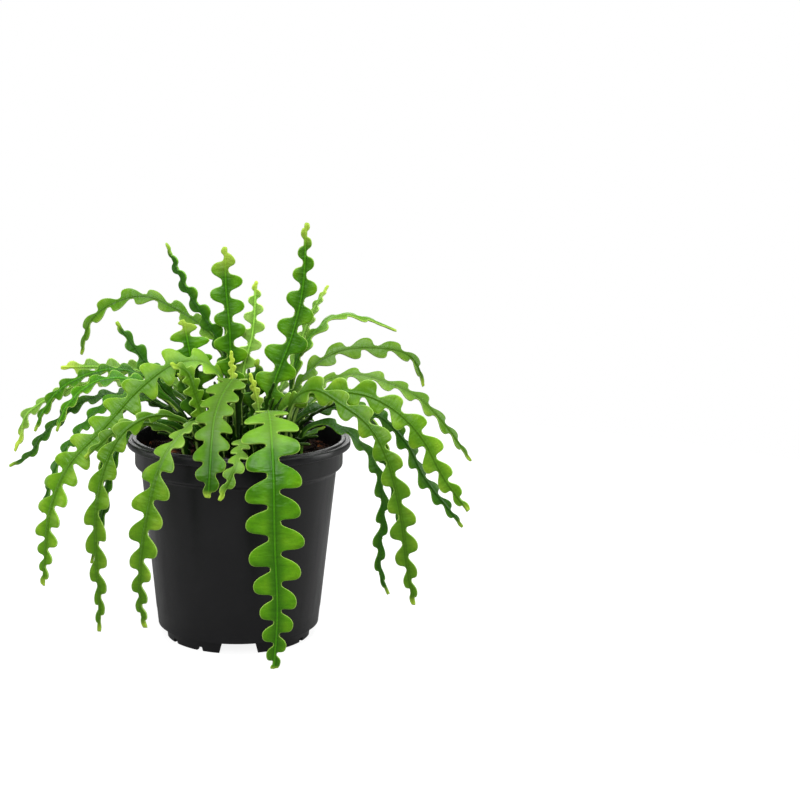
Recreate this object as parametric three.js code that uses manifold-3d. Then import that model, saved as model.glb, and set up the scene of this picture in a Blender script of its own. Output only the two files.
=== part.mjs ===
// A fishbone cactus in a black nursery pot.
// Millimetres, +Z up. The origin lies on the surface it stands on, under the middle of the pot.
// The viewer stands on the -Y side, with +X to the right.
import * as THREE from "three";
import { mergeVertices } from "three/addons/utils/BufferGeometryUtils.js";
import Module from "manifold-3d";

const wasm = await Module();
wasm.setup();

// Pot, moulded in one piece, for a plant sold in the six inch size
const POT_HEIGHT = 142;
const LIP_RADIUS = 77.5;
const LIP_HEIGHT = 6;
const LIP_WIDTH = 6.5;
const BAND_RADIUS = 72.2;
const BAND_BOTTOM = 122.5;
const STEP_BOTTOM = 119.4;
const WALL_TOP_RADIUS = 67.9;
const WALL_FOOT_RADIUS = 56.5;
const WALL = 1.6;
const FOOT_RADIUS = 51;
const FOOT_WIDTH = 3.5;
const FOOT_HEIGHT = 8.5;
const HEEL = 0.4;
const CORNER = 2.5;
const EASING = 1;
const FLOOR = 2;
const ROUND_SIDES = 32;

// Notches in the foot ring that let water out: a wide one on each side and two small ones between
const WIDE_NOTCH = { foot: 27, head: 22.5, height: 8 };
const SMALL_NOTCH = { foot: 5.5, head: 4, height: 3 };
const NOTCH_TURNS = 4;
const SMALL_NOTCH_OFFSET = 31.5;
const DRAIN_RADIUS = 5;
const DRAIN_CIRCLE = 36;
const DRAIN_SIDES = 12;

// Soil, loosely filled to just below the rim and a little higher in the middle
const SOIL_GAP = 0.4;
const SOIL_FLOOR_GAP = 0.3;
const SOIL_EDGE = 129;
const SOIL_MIDDLE = 131.5;
const SOIL_SHOULDER = { radius: 40, drop: 0.8 };
const ROOT_DEPTH = 13;
const ROOT_BOTTOM = SOIL_MIDDLE - ROOT_DEPTH;
const HOLE = { mouth: 4, end: 3.4, clearance: 0.3, overshoot: 2.5, sides: 5 };

// A stem is a flat blade with a raised rib. Its first stretch is a bare narrow stalk.
const STALK = { half: 2.4, edge: 0.9, rib: 1.6, step: 11 };
const BLADE = { edge: 0.35, rib: 1.25 };
const STEM_END = { half: 1, rib: 0.5, clear: 2.5 };
const RIB_STEPS = { full: 0.5, bead: 0.8, round: 0.8, wavy: 0.8, plain: 0.8, young: 0.8 };
const LINE_DIVISIONS = 600;

// The blade swells to its full width over this many lobes, and shrinks at the tip to this share of it
const SWELLS_OVER = 1.8;
const SHRUNK = 0.17;
// Where lobes rise slowly to their full size, the first has this share of it
const FIRST_LOBE = 0.45;
// Lobes crowd towards the tip, down to this share of their full spacing
const CROWDED = 0.35;

// One lobe from notch to notch: how far along it, and how wide as a share of the half width.
// The side towards the root slopes out and the side towards the tip drops almost straight in.
const LOBES = {
  full: [[0, 0.23], [0.15, 0.42], [0.34, 0.83], [0.63, 1], [0.86, 0.74]],
  bead: [[0, 0.23], [0.17, 0.4], [0.34, 0.84], [0.57, 1], [0.8, 0.62]],
  round: [[0, 0.22], [0.2, 0.44], [0.45, 0.92], [0.66, 1], [0.85, 0.72]],
  wavy: [[0, 0.42], [0.2, 0.58], [0.45, 0.93], [0.66, 1], [0.85, 0.8]],
  plain: [[0, 0.27], [0.4, 0.76], [0.78, 0.9]],
  young: [[0, 0.42], [0.4, 0.85], [0.8, 1]],
};

// Black polypropylene, damp peat with bark, and the waxy green skin of the stems
const POT_FINISH = { color: 0x232326, roughness: 0.45, metalness: 0 };
const SOIL_FINISH = { color: 0x2e231c, roughness: 0.95, metalness: 0 };
const STEM_FINISHES = {
  bright: { color: 0x86b83c, roughness: 0.5, metalness: 0 },
  mid: { color: 0x5f9a24, roughness: 0.5, metalness: 0 },
  dark: { color: 0x356f12, roughness: 0.5, metalness: 0 },
  young: { color: 0xb4cb2a, roughness: 0.5, metalness: 0 },
};

// Each stem: its root in the soil, the side its blade faces in degrees round from +X, half its width
// over the lobes, the distance from lobe to lobe, the length of its bare stalk, the form of its lobes,
// the number of lobes over which they shrink to the tip, on some the number over which they rise to
// their full size, and its route above the soil as x, y, z and the turn of the blade about its own line.
const STEMS = [
  {
    name: "stem_upright_1", // the tallest, on the right of the middle
    root: [20, 3], face: 90, half: 13.5, pitch: 21, bare: 28, lobes: "bead", fade: 5, tone: "mid",
    route: [[20, 3, 162, 0], [25, 4, 182, 0], [36, 6, 212, 0], [43, 7, 244, 0], [45, 8, 290, 0]],
  },
  {
    name: "stem_upright_2",
    root: [-6, 14], face: 90, half: 11.4, pitch: 17, bare: 44, lobes: "bead", fade: 1.5, tone: "mid",
    route: [[-6, 13, 172, 0], [-7, 12, 212, 0], [-10, 14, 246, 0], [-10, 15, 272, 0]],
  },
  {
    name: "stem_upright_3", // leans back to the left
    root: [-10, 24], face: 90, half: 8, pitch: 16, bare: 46, lobes: "bead", fade: 4, tone: "dark",
    route: [[-10, 24, 195, -30], [-20, 27, 214, -40], [-37, 33, 240, -40], [-52, 38, 272, -40]],
  },
  {
    name: "stem_upright_4", // a young one, still narrow
    root: [4, 22], face: 90, half: 8.4, pitch: 13, bare: 46, lobes: "bead", fade: 3, tone: "young",
    route: [[2, 23, 180, 0], [9, 22, 212, 0], [11, 20, 248, 0]],
  },
  {
    name: "stem_upright_5",
    root: [22, 26], face: 60, half: 5, pitch: 8.5, bare: 46, lobes: "young", fade: 3.6, tone: "young",
    route: [[26, 30, 160, 0], [38, 40, 186, 0], [52, 45, 223, 0], [63, 49, 242, 0]],
  },
  {
    name: "stem_upright_6", // a thin arch to the right, seen on its edge
    root: [35, 19], face: 20, half: 5.5, pitch: 17, bare: 50, lobes: "plain", fade: 2.8, tone: "mid",
    route: [
      [36, 22, 165, 22], [41, 26, 191, 22], [52, 31, 209, 22], [68, 37, 221, 22], [88, 44, 219, 22],
      [113, 50, 209, 22],
    ],
  },
  {
    name: "stem_upright_7", // a long arch to the left
    root: [-15, 35], face: 180, half: 6.6, pitch: 18, bare: 60, lobes: "round", fade: 2.6, rise: 2,
    tone: "bright",
    route: [
      [-14, 38, 165, 0], [-13, 42, 195, -35], [-24, 44, 210, -62], [-45, 46, 224, -62], [-68, 47, 233, -62],
      [-91, 48, 227, -62], [-106, 49, 214, -62], [-113, 50, 190, -62],
    ],
  },
  {
    name: "stem_upright_8",
    root: [-22, 17], face: 180, half: 8, pitch: 16, bare: 46, lobes: "plain", fade: 2.6, tone: "dark",
    route: [[-30, 17, 150, -45], [-52, 17, 170, -72], [-67, 18, 192, -72], [-86, 21, 218, -72]],
  },
  {
    name: "stem_upright_9", // short and broad
    root: [-22, 6], face: 90, half: 15, pitch: 12.5, bare: 38, lobes: "bead", fade: 1.8, tone: "mid",
    route: [[-27, 6, 165, 0], [-32, 6, 187, 0], [-39, 8, 222, 0]],
  },
  {
    name: "stem_upright_10", // short, between the tall ones
    root: [9, 11], face: 90, half: 9, pitch: 15, bare: 24, lobes: "bead", fade: 2, tone: "dark",
    route: [[9, 11, 152, 0], [10, 11, 172, 0], [13, 12, 194, 0]],
  },
  {
    name: "stem_upright_11", // short, at the left of the middle
    root: [-26, -10], face: 90, half: 9, pitch: 15, bare: 26, lobes: "bead", fade: 2, tone: "dark",
    route: [[-28, -11, 150, 0], [-33, -12, 168, 0], [-42, -13, 188, 0]],
  },
  {
    name: "stem_left_1", // the long broad one that hangs at the left
    root: [-10, -3], face: 180, half: 12, pitch: 16.5, bare: 50, lobes: "round", fade: 4.6, tone: "bright",
    route: [
      [-10, -2, 163, 0], [-14, -2, 184, -10], [-25, -4, 194, -30], [-43, -8, 194, -60],
      [-66, -13, 179, -80], [-90, -19, 153, -75], [-115, -25, 126, -70], [-127, -28, 97, -60],
      [-131, -30, 65, -60], [-133, -30, 43, -60],
    ],
  },
  {
    name: "stem_left_2", // hangs lowest at the left
    root: [-27, -22], face: 180, half: 8.8, pitch: 21, bare: 42, lobes: "round", fade: 4.2, rise: 3.4,
    tone: "bright",
    route: [
      [-31, -23, 150, -40], [-43, -27, 160, -70], [-60, -34, 162, -80], [-77, -43, 153, -80],
      [-87, -47, 136, -80], [-94, -51, 108, -75], [-95, -53, 70, -75], [-93, -54, 40, -75],
      [-94, -54, 18, -75],
    ],
  },
  {
    name: "stem_left_3",
    root: [-38, -7], face: 180, half: 4.2, pitch: 15, bare: 40, lobes: "young", fade: 3.6, tone: "dark",
    route: [
      [-40, -10, 148, -40], [-55, -17, 155, -60], [-73, -25, 150, -60], [-86, -31, 128, -60],
      [-91, -35, 98, -60], [-100, -35, 60, -60],
    ],
  },
  {
    name: "stem_left_4",
    root: [-37, 3], face: 180, half: 5.4, pitch: 14.5, bare: 44, lobes: "plain", fade: 2.6, tone: "dark",
    route: [
      [-42, 2, 153, -25], [-62, -2, 168, -25], [-85, -6, 169, -50], [-106, -9, 151, -50],
      [-125, -13, 122, -50], [-135, -13, 90, -50],
    ],
  },
  {
    name: "stem_left_5", // reaches furthest to the left
    root: [-38, 18], face: 180, half: 5.2, pitch: 14.5, bare: 44, lobes: "plain", fade: 2.6, tone: "dark",
    route: [
      [-44, 19, 152, -20], [-63, 20, 163, -58], [-87, 18, 167, -58], [-110, 16, 162, -58],
      [-136, 14, 139, -58], [-146, 13, 125, -58], [-160, 12, 117, -58],
    ],
  },
  {
    name: "stem_left_6",
    root: [-38, 28], face: 180, half: 5, pitch: 13.5, bare: 60, lobes: "plain", fade: 2.2, tone: "young",
    route: [
      [-46, 32, 154, -20], [-62, 37, 168, -60], [-88, 39, 174, -60], [-118, 40, 168, -60],
      [-141, 42, 156, -60], [-152, 43, 146, -60], [-155, 43, 133, -60], [-160, 42, 121, -60],
    ],
  },
  {
    name: "stem_left_7",
    root: [-27, 28], face: 180, half: 5.6, pitch: 14.5, bare: 48, lobes: "plain", fade: 2.4, tone: "mid",
    route: [
      [-36, 28, 158, -20], [-56, 28, 173, -62], [-84, 29, 183, -62], [-107, 30, 179, -62],
      [-126, 30, 168, -62], [-139, 30, 150, -62], [-144, 30, 138, -62],
    ],
  },
  {
    name: "stem_left_8",
    root: [-24, 42], face: 175, half: 6.8, pitch: 15, bare: 44, lobes: "plain", fade: 1.4, tone: "young",
    route: [
      [-30, 43, 150, -20], [-45, 45, 168, -60], [-68, 48, 178, -75], [-98, 52, 181, -75],
      [-128, 55, 180, -75],
    ],
  },
  {
    name: "stem_left_9",
    root: [-30, 12], face: 180, half: 5.6, pitch: 14, bare: 50, lobes: "plain", fade: 2.4, tone: "mid",
    route: [
      [-38, 11, 152, -20], [-60, 8, 174, -62], [-84, 6, 181, -62], [-102, 5, 177, -62], [-118, 3, 162, -62],
      [-126, 2, 144, -62],
    ],
  },
  {
    name: "stem_left_10",
    root: [-37, -18], face: 190, half: 6, pitch: 14.5, bare: 36, lobes: "plain", fade: 1.8, tone: "bright",
    route: [
      [-42, -19, 145, -45], [-60, -24, 155, -68], [-82, -29, 152, -68], [-94, -31, 142, -68],
      [-104, -32, 133, -68],
    ],
  },
  {
    name: "stem_front_1", // the widest, down the front of the pot
    root: [20, -26], face: -90, half: 18.5, pitch: 20.6, bare: 41, lobes: "full", fade: 4.8, rise: 1.8,
    tone: "mid",
    route: [
      [19, -33, 158, 0], [19, -47, 168, 0], [20, -64, 165, 0], [21, -85, 153, 0], [22, -95, 131, 0],
      [23, -98, 91, 0], [25, -99, 45, 0], [23, -98, 6, 0],
    ],
  },
  {
    name: "stem_front_2",
    root: [-12, -30], face: -110, half: 11.8, pitch: 21, bare: 42, lobes: "round", fade: 5, rise: 4,
    tone: "bright",
    route: [
      [-17, -32, 150, 0], [-28, -38, 159, 0], [-40, -58, 153, 0], [-51, -73, 138, 0], [-59, -79, 108, 0],
      [-64, -80, 72, 0], [-64, -78, 41, 0], [-61, -77, 28, 0],
    ],
  },
  {
    name: "stem_front_3",
    root: [0, -14], face: -95, half: 12.5, pitch: 15, bare: 48, lobes: "wavy", fade: 2.2, rise: 2,
    tone: "mid",
    route: [
      [-1, -13, 168, 0], [-3, -18, 184, 0], [-10, -34, 179, 0], [-16, -56, 167, 0], [-18, -76, 152, 0],
      [-19, -86, 135, 0], [-20, -88, 119, 0],
    ],
  },
  {
    name: "stem_front_4",
    root: [8, -33], face: -95, half: 6.4, pitch: 12, bare: 38, lobes: "round", fade: 2, tone: "bright",
    route: [[6, -40, 145, 0], [2, -54, 150, 0], [0, -73, 147, 0], [-3, -89, 139, 0], [-13, -95, 119, 0]],
  },
  {
    name: "stem_front_5",
    root: [-18, -17], face: 120, half: 7, pitch: 8, bare: 32, lobes: "young", fade: 2.2, tone: "bright",
    route: [[-24, -18, 155, 0], [-30, -19, 174, 0], [-36, -20, 190, 0], [-47, -22, 196, 0]],
  },
  {
    name: "stem_front_6",
    root: [-1, 4], face: 90, half: 3.4, pitch: 6, bare: 34, lobes: "young", fade: 3, tone: "young",
    route: [[-4, 5, 166, 0], [-6, 5, 201, 0]],
  },
  {
    name: "stem_front_7",
    root: [11, -5], face: 90, half: 4.4, pitch: 7, bare: 34, lobes: "young", fade: 3, tone: "young",
    route: [[13, -4, 162, 0], [7, -4, 187, 0]],
  },
  {
    name: "stem_front_8", // a short low one that stays inside the rim
    root: [42, -3], face: 0, half: 4.2, pitch: 9, bare: 22, lobes: "young", fade: 2, tone: "dark",
    route: [[44, -2, 141, 20], [50, 1, 144, 20], [60, 6, 147, 20]],
  },
  {
    name: "stem_right_1", // the top arch at the right
    root: [26, 14], face: 5, half: 8.2, pitch: 20, bare: 44, lobes: "round", fade: 3, rise: 2.6,
    tone: "bright",
    route: [
      [30, 12, 158, 20], [40, 9, 175, 52], [54, 12, 191, 52], [72, 16, 200, 52], [99, 20, 201, 52],
      [117, 22, 197, 52], [125, 23, 189, 52], [131, 24, 173, 52],
    ],
  },
  {
    name: "stem_right_2", // reaches furthest to the right
    root: [34, -9], face: -8, half: 6.6, pitch: 17, bare: 44, lobes: "plain", fade: 2.8, rise: 2,
    tone: "bright",
    route: [
      [38, -8, 158, 20], [46, -9, 174, 40], [62, -11, 184, 40], [80, -15, 188, 40], [101, -18, 183, 40],
      [121, -20, 174, 40], [138, -23, 158, 40], [160, -24, 129, 40],
    ],
  },
  {
    name: "stem_right_3",
    root: [22, -14], face: -15, half: 10, pitch: 19, bare: 42, lobes: "round", fade: 3, tone: "bright",
    route: [
      [25, -16, 158, 40], [38, -21, 172, 70], [62, -27, 178, 75], [86, -34, 177, 75], [106, -39, 167, 75],
      [123, -43, 150, 75], [139, -46, 122, 75], [156, -46, 99, 75],
    ],
  },
  {
    name: "stem_right_4",
    root: [33, 6], face: -5, half: 7, pitch: 16, bare: 40, lobes: "plain", fade: 2.8, tone: "dark",
    route: [
      [37, 5, 150, 30], [50, 5, 159, 52], [74, 4, 161, 52], [98, 1, 155, 52], [117, -2, 136, 52],
      [130, -4, 112, 52], [158, -6, 77, 52],
    ],
  },
  {
    name: "stem_right_5", // the broad one that hangs at the right
    root: [31, -22], face: -28, half: 9, pitch: 19, bare: 44, lobes: "round", fade: 3, tone: "bright",
    route: [
      [32, -25, 155, 40], [39, -34, 176, 60], [51, -41, 182, 70], [68, -50, 174, 70], [86, -59, 161, 70],
      [98, -65, 140, 70], [108, -68, 101, 70], [112, -68, 72, 70], [118, -67, 39, 70],
    ],
  },
  {
    name: "stem_right_6",
    root: [42, -14], face: -30, half: 5.2, pitch: 18, bare: 40, lobes: "plain", fade: 2.8, tone: "dark",
    route: [
      [45, -19, 150, 50], [57, -24, 156, 50], [72, -31, 152, 50], [89, -38, 136, 50], [96, -41, 116, 50],
      [98, -41, 95, 50], [96, -41, 72, 50], [97, -40, 54, 50], [103, -39, 38, 50],
    ],
  },
  {
    name: "stem_back_1", // down the back of the pot
    root: [6, 40], face: 90, half: 12, pitch: 18.5, bare: 40, lobes: "round", fade: 3.6, tone: "mid",
    route: [
      [5, 46, 150, 0], [4, 60, 162, 0], [4, 80, 155, 0], [5, 94, 130, 0], [5, 98, 92, 0], [2, 98, 55, 0],
      [1, 97, 22, 0],
    ],
  },
  {
    name: "stem_back_2",
    root: [-8, 46], face: 120, half: 9, pitch: 18.5, bare: 36, lobes: "plain", fade: 3.6, tone: "bright",
    route: [
      [-14, 52, 148, 0], [-27, 66, 156, 0], [-41, 80, 148, 0], [-50, 89, 125, 0], [-53, 92, 92, 0],
      [-51, 91, 60, 0],
    ],
  },
  {
    name: "stem_back_3",
    root: [20, 38], face: 60, half: 9, pitch: 18.5, bare: 38, lobes: "plain", fade: 3.6, tone: "dark",
    route: [
      [23, 48, 150, 0], [30, 62, 160, 0], [42, 78, 151, 0], [52, 88, 128, 0], [57, 91, 98, 0],
      [57, 91, 62, 0], [55, 89, 36, 0],
    ],
  },
  {
    name: "stem_back_4",
    root: [-34, 36], face: 140, half: 7, pitch: 18.5, bare: 38, lobes: "plain", fade: 3.6, tone: "mid",
    route: [
      [-42, 42, 150, 0], [-60, 55, 162, 0], [-79, 68, 155, 0], [-93, 76, 130, 0], [-100, 78, 99, 0],
      [-107, 79, 45, 0],
    ],
  },
  {
    name: "stem_back_5",
    root: [42, 26], face: 40, half: 7, pitch: 18.5, bare: 38, lobes: "plain", fade: 3.6, tone: "mid",
    route: [
      [46, 38, 150, 0], [62, 54, 162, 0], [84, 66, 154, 0], [101, 74, 132, 0], [110, 76, 104, 0],
      [123, 76, 49, 0],
    ],
  },
  {
    name: "stem_back_6",
    root: [-3, 32], face: 90, half: 7, pitch: 18.5, bare: 40, lobes: "plain", fade: 3.6, tone: "mid",
    route: [[-6, 40, 150, 0], [-9, 50, 174, 0], [-10, 56, 200, 0], [-10, 60, 220, 0]],
  },
  {
    name: "stem_back_7",
    root: [33, 31], face: 45, half: 6, pitch: 13, bare: 34, lobes: "plain", fade: 2.5, tone: "young",
    route: [[37, 42, 148, 0], [43, 54, 157, 0], [51, 66, 156, 0], [57, 74, 148, 0]],
  },
];

const SAME_POINT = 1e-4;
const { degToRad: radians, lerp, smoothstep } = THREE.MathUtils;

// A closed geometry as a solid that can be joined and cut
function solidOf(geometry) {
  const bare = new THREE.BufferGeometry();
  bare.setAttribute("position", geometry.getAttribute("position"));
  bare.setIndex(geometry.getIndex());
  const merged = mergeVertices(bare, SAME_POINT);
  const corners = merged.getIndex().array;
  const kept = [];
  for (let i = 0; i < corners.length; i += 3) {
    const [a, b, c] = [corners[i], corners[i + 1], corners[i + 2]];
    if (a !== b && b !== c && c !== a) kept.push(a, b, c);
  }
  const mesh = new wasm.Mesh({
    numProp: 3,
    vertProperties: merged.getAttribute("position").array,
    triVerts: new Uint32Array(kept),
  });
  return new wasm.Manifold(mesh);
}

function geometryOf(solid) {
  const { vertProperties, triVerts } = solid.getMesh();
  const geometry = new THREE.BufferGeometry();
  geometry.setAttribute("position", new THREE.BufferAttribute(vertProperties, 3));
  geometry.setIndex(new THREE.BufferAttribute(triVerts, 1));
  geometry.computeVertexNormals();
  return geometry;
}

// A profile of [radius, height] corners spun round the Z axis
function turned(profile) {
  const corners = profile.map(([radius, height]) => new THREE.Vector2(radius, height));
  return new THREE.LatheGeometry(corners, ROUND_SIDES).rotateX(Math.PI / 2);
}

// The inside of the pot from its floor up to the band, moved in by a gap
function innerWall(gap, lift) {
  const floorTop = FOOT_HEIGHT + FLOOR;
  return [
    [WALL_FOOT_RADIUS - WALL - CORNER - gap, floorTop + lift],
    [WALL_FOOT_RADIUS - WALL - gap, floorTop + CORNER + lift],
    [WALL_TOP_RADIUS - WALL - gap, STEP_BOTTOM],
    [BAND_RADIUS - WALL - gap, BAND_BOTTOM],
  ];
}

function potBody() {
  const lipBottom = POT_HEIGHT - LIP_HEIGHT;
  return turned([
    [0, FOOT_HEIGHT],
    [FOOT_RADIUS - FOOT_WIDTH, FOOT_HEIGHT],
    [FOOT_RADIUS - FOOT_WIDTH, 0],
    [FOOT_RADIUS, 0],
    [FOOT_RADIUS + HEEL, FOOT_HEIGHT - HEEL],
    [WALL_FOOT_RADIUS - EASING, FOOT_HEIGHT],
    [WALL_FOOT_RADIUS, FOOT_HEIGHT + EASING],
    [WALL_TOP_RADIUS, STEP_BOTTOM],
    [BAND_RADIUS, BAND_BOTTOM],
    [BAND_RADIUS, lipBottom],
    [LIP_RADIUS - EASING, lipBottom],
    [LIP_RADIUS, lipBottom + EASING],
    [LIP_RADIUS, POT_HEIGHT - EASING],
    [LIP_RADIUS - EASING, POT_HEIGHT],
    [LIP_RADIUS - LIP_WIDTH + EASING, POT_HEIGHT],
    [LIP_RADIUS - LIP_WIDTH, POT_HEIGHT - EASING],
    ...innerWall(0, 0).reverse(),
    [0, FOOT_HEIGHT + FLOOR],
  ]);
}

// A wedge that opens the foot ring at one place round the pot
function notchCutter({ foot, head, height }, turn) {
  const side = new THREE.Shape();
  side.moveTo(-foot / 2, -1);
  side.lineTo(foot / 2, -1);
  side.lineTo(head / 2, height);
  side.lineTo(-head / 2, height);
  const reach = 4 * FOOT_WIDTH;
  const cutter = new THREE.ExtrudeGeometry(side, { depth: reach, bevelEnabled: false });
  cutter.rotateX(Math.PI / 2);
  cutter.translate(0, -(FOOT_RADIUS - 2 * FOOT_WIDTH), 0);
  return cutter.rotateZ(radians(turn));
}

function drainCutter(x, y) {
  const cutter = new THREE.CylinderGeometry(DRAIN_RADIUS, DRAIN_RADIUS, 4 * FLOOR, DRAIN_SIDES);
  cutter.rotateX(Math.PI / 2);
  return cutter.translate(x, y, FOOT_HEIGHT + FLOOR / 2);
}

function potGeometry() {
  let pot = solidOf(potBody());
  for (let i = 0; i < NOTCH_TURNS; i += 1) {
    const turn = (360 / NOTCH_TURNS) * i;
    pot = pot.subtract(solidOf(notchCutter(WIDE_NOTCH, turn)));
    pot = pot.subtract(solidOf(notchCutter(SMALL_NOTCH, turn + SMALL_NOTCH_OFFSET)));
    pot = pot.subtract(solidOf(notchCutter(SMALL_NOTCH, turn - SMALL_NOTCH_OFFSET)));
    const along = radians(turn + 180 / NOTCH_TURNS);
    const drain = drainCutter(DRAIN_CIRCLE * Math.cos(along), DRAIN_CIRCLE * Math.sin(along));
    pot = pot.subtract(solidOf(drain));
  }
  return geometryOf(pot.subtract(solidOf(drainCutter(0, 0))));
}

// The hole that a stem's root stands in, a little wider at its mouth
function holeCutter([x, y]) {
  const bottom = ROOT_BOTTOM - HOLE.clearance;
  const height = SOIL_MIDDLE + HOLE.overshoot - bottom;
  const cutter = new THREE.CylinderGeometry(HOLE.mouth, HOLE.end, height, HOLE.sides);
  cutter.rotateX(Math.PI / 2);
  return cutter.translate(x, y, bottom + height / 2);
}

function soilGeometry() {
  const wall = innerWall(SOIL_GAP, SOIL_FLOOR_GAP);
  let soil = solidOf(turned([
    [0, wall[0][1]],
    ...wall,
    [BAND_RADIUS - WALL - SOIL_GAP, SOIL_EDGE],
    [SOIL_SHOULDER.radius, SOIL_MIDDLE - SOIL_SHOULDER.drop],
    [0, SOIL_MIDDLE],
  ]));
  for (const stem of STEMS) soil = soil.subtract(solidOf(holeCutter(stem.root)));
  return geometryOf(soil);
}

// The line of a stem from the bottom of its hole to its tip, and how its blade lies along it
class StemLine {
  constructor({ root, route, face }) {
    const [x, y] = root;
    const turn = route[0][3];
    const stub = [ROOT_BOTTOM, ROOT_BOTTOM + ROOT_DEPTH / 2, SOIL_MIDDLE + 1];
    const points = [...stub.map((z) => [x, y, z, turn]), ...route];
    this.turns = points.map((point) => radians(point[3]));
    this.curve = new THREE.CatmullRomCurve3(
      points.map((point) => new THREE.Vector3(point[0], point[1], point[2])),
      false,
      "centripetal",
    );
    this.curve.arcLengthDivisions = LINE_DIVISIONS;
    this.length = this.curve.getLength();
    this.across = new THREE.Vector3(-Math.sin(radians(face)), Math.cos(radians(face)), 0);
  }

  turnAt(share) {
    const along = this.curve.getUtoTmapping(share) * (this.turns.length - 1);
    const before = Math.min(Math.floor(along), this.turns.length - 2);
    return lerp(this.turns[before], this.turns[before + 1], along - before);
  }

  // The point at a distance along the line, moved out along the blade and up from its face
  at(distance, out, up) {
    const share = Math.min(distance / this.length, 1);
    const forward = this.curve.getTangentAt(share);
    const width = this.across.clone().addScaledVector(forward, -this.across.dot(forward)).normalize();
    width.applyAxisAngle(forward, this.turnAt(share));
    const normal = forward.clone().cross(width);
    return this.curve.getPointAt(share).addScaledVector(width, out).addScaledVector(normal, up);
  }
}

// How far the blade has swollen out of the stalk at a distance from the root, from 0 to 1
function swollen({ bare, pitch }, distance) {
  return smoothstep(distance, bare - pitch, bare + SWELLS_OVER * pitch);
}

// The share of its full size that a lobe has, by how many lobes it is from the first and the tip
function lobeSize({ bare, pitch, fade, rise }, length, distance) {
  const left = Math.min((length - distance) / (fade * pitch), 1);
  const size = lerp(SHRUNK, 1, Math.sin(left * Math.PI / 2));
  if (!rise) return size;
  return size * lerp(FIRST_LOBE, 1, smoothstep((distance - bare) / pitch, 0, rise));
}

function stalkStations(bare) {
  const count = Math.round(bare / STALK.step);
  return Array.from({ length: count }, (_, i) => (bare * i) / count);
}

// Where each lobe of one side starts and how long it is. Those of the second side lie between those of
// the first, so that the lobes alternate.
function lobePlaces(stem, length, late) {
  const starts = [stem.bare];
  while (starts.at(-1) < length + stem.pitch) {
    const size = lobeSize(stem, length, Math.min(starts.at(-1), length));
    starts.push(starts.at(-1) + stem.pitch * lerp(CROWDED, 1, size));
  }
  const moved = starts.slice(1).map((end, i) => lerp(starts[i], end, late));
  return moved.slice(1).map((end, i) => [moved[i], end - moved[i]]);
}

// One side of the blade as distances along the line with the half width there.
function outline(stem, length, late) {
  const { bare, half, lobes } = stem;
  const points = stalkStations(bare).map((distance) => [distance, STALK.half]);
  for (const [start, step] of lobePlaces(stem, length, late)) {
    for (const [along, wide] of LOBES[lobes]) {
      const distance = start + along * step;
      if (distance > length - STEM_END.clear) break;
      const blade = half * wide * lobeSize(stem, length, distance);
      const width = lerp(STALK.half, blade, swollen(stem, distance));
      points.push([distance, Math.max(width, STEM_END.half)]);
    }
  }
  points.push([length, STEM_END.half]);
  return points;
}

function ribStations({ bare, pitch, lobes }, length) {
  const stations = stalkStations(bare);
  const step = pitch * RIB_STEPS[lobes];
  for (let distance = bare; distance < length - STEM_END.clear; distance += step) {
    stations.push(distance);
  }
  stations.push(length);
  return stations;
}

function stemGeometry(stem) {
  const line = new StemLine(stem);
  const { length } = line;
  const positions = [];
  const triangles = [];

  // A point on the upper face and the one under it on the lower face
  function pair(distance, out, part) {
    const grown = swollen(stem, distance);
    const half = lerp(STALK[part], BLADE[part], grown);
    const up = part === "rib" && distance >= length ? STEM_END.rib : half;
    const upper = positions.length / 3;
    positions.push(...line.at(distance, out, up).toArray());
    positions.push(...line.at(distance, out, -up).toArray());
    return { distance, upper, lower: upper + 1 };
  }

  const middle = ribStations(stem, length).map((distance) => pair(distance, 0, "rib"));
  const sides = [1, -1].map((side) => {
    const late = side > 0 ? 0 : 0.5;
    const points = outline(stem, length, late);
    return { side, points: points.map(([distance, out]) => pair(distance, side * out, "edge")) };
  });

  function face(side, a, b, c) {
    if (side > 0) triangles.push(a, b, c);
    else triangles.push(a, c, b);
  }

  // Both faces between the rib and one edge are split alike, so that they can't cross
  function skin(points, side) {
    let i = 0;
    let j = 0;
    while (i < middle.length - 1 || j < points.length - 1) {
      const ribNext = i < middle.length - 1 ? middle[i + 1].distance : Infinity;
      const edgeNext = j < points.length - 1 ? points[j + 1].distance : Infinity;
      const onRib = ribNext <= edgeNext;
      const next = onRib ? middle[i + 1] : points[j + 1];
      face(side, middle[i].upper, next.upper, points[j].upper);
      face(side, middle[i].lower, points[j].lower, next.lower);
      if (onRib) i += 1;
      else j += 1;
    }
  }

  function rim(points, side) {
    for (let j = 0; j < points.length - 1; j += 1) {
      face(side, points[j].upper, points[j + 1].upper, points[j].lower);
      face(side, points[j + 1].upper, points[j + 1].lower, points[j].lower);
    }
  }

  function close(ribEnd, edgeEnd, side) {
    face(side, edgeEnd.upper, edgeEnd.lower, ribEnd.lower);
    face(side, edgeEnd.upper, ribEnd.lower, ribEnd.upper);
  }

  for (const { side, points } of sides) {
    skin(points, side);
    rim(points, side);
    close(middle[0], points[0], side);
    close(middle.at(-1), points.at(-1), -side);
  }

  const geometry = new THREE.BufferGeometry();
  geometry.setAttribute("position", new THREE.Float32BufferAttribute(positions, 3));
  geometry.setIndex(triangles);
  geometry.computeVertexNormals();
  return geometry;
}

function named(name, geometry, finish) {
  const mesh = new THREE.Mesh(geometry, new THREE.MeshStandardMaterial(finish));
  mesh.name = name;
  return mesh;
}

const plant = new THREE.Group();
plant.add(named("pot", potGeometry(), POT_FINISH));
plant.add(named("soil", soilGeometry(), SOIL_FINISH));
for (const stem of STEMS) plant.add(named(stem.name, stemGeometry(stem), STEM_FINISHES[stem.tone]));

export default plant;
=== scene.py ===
import math
from dataclasses import dataclass

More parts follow.
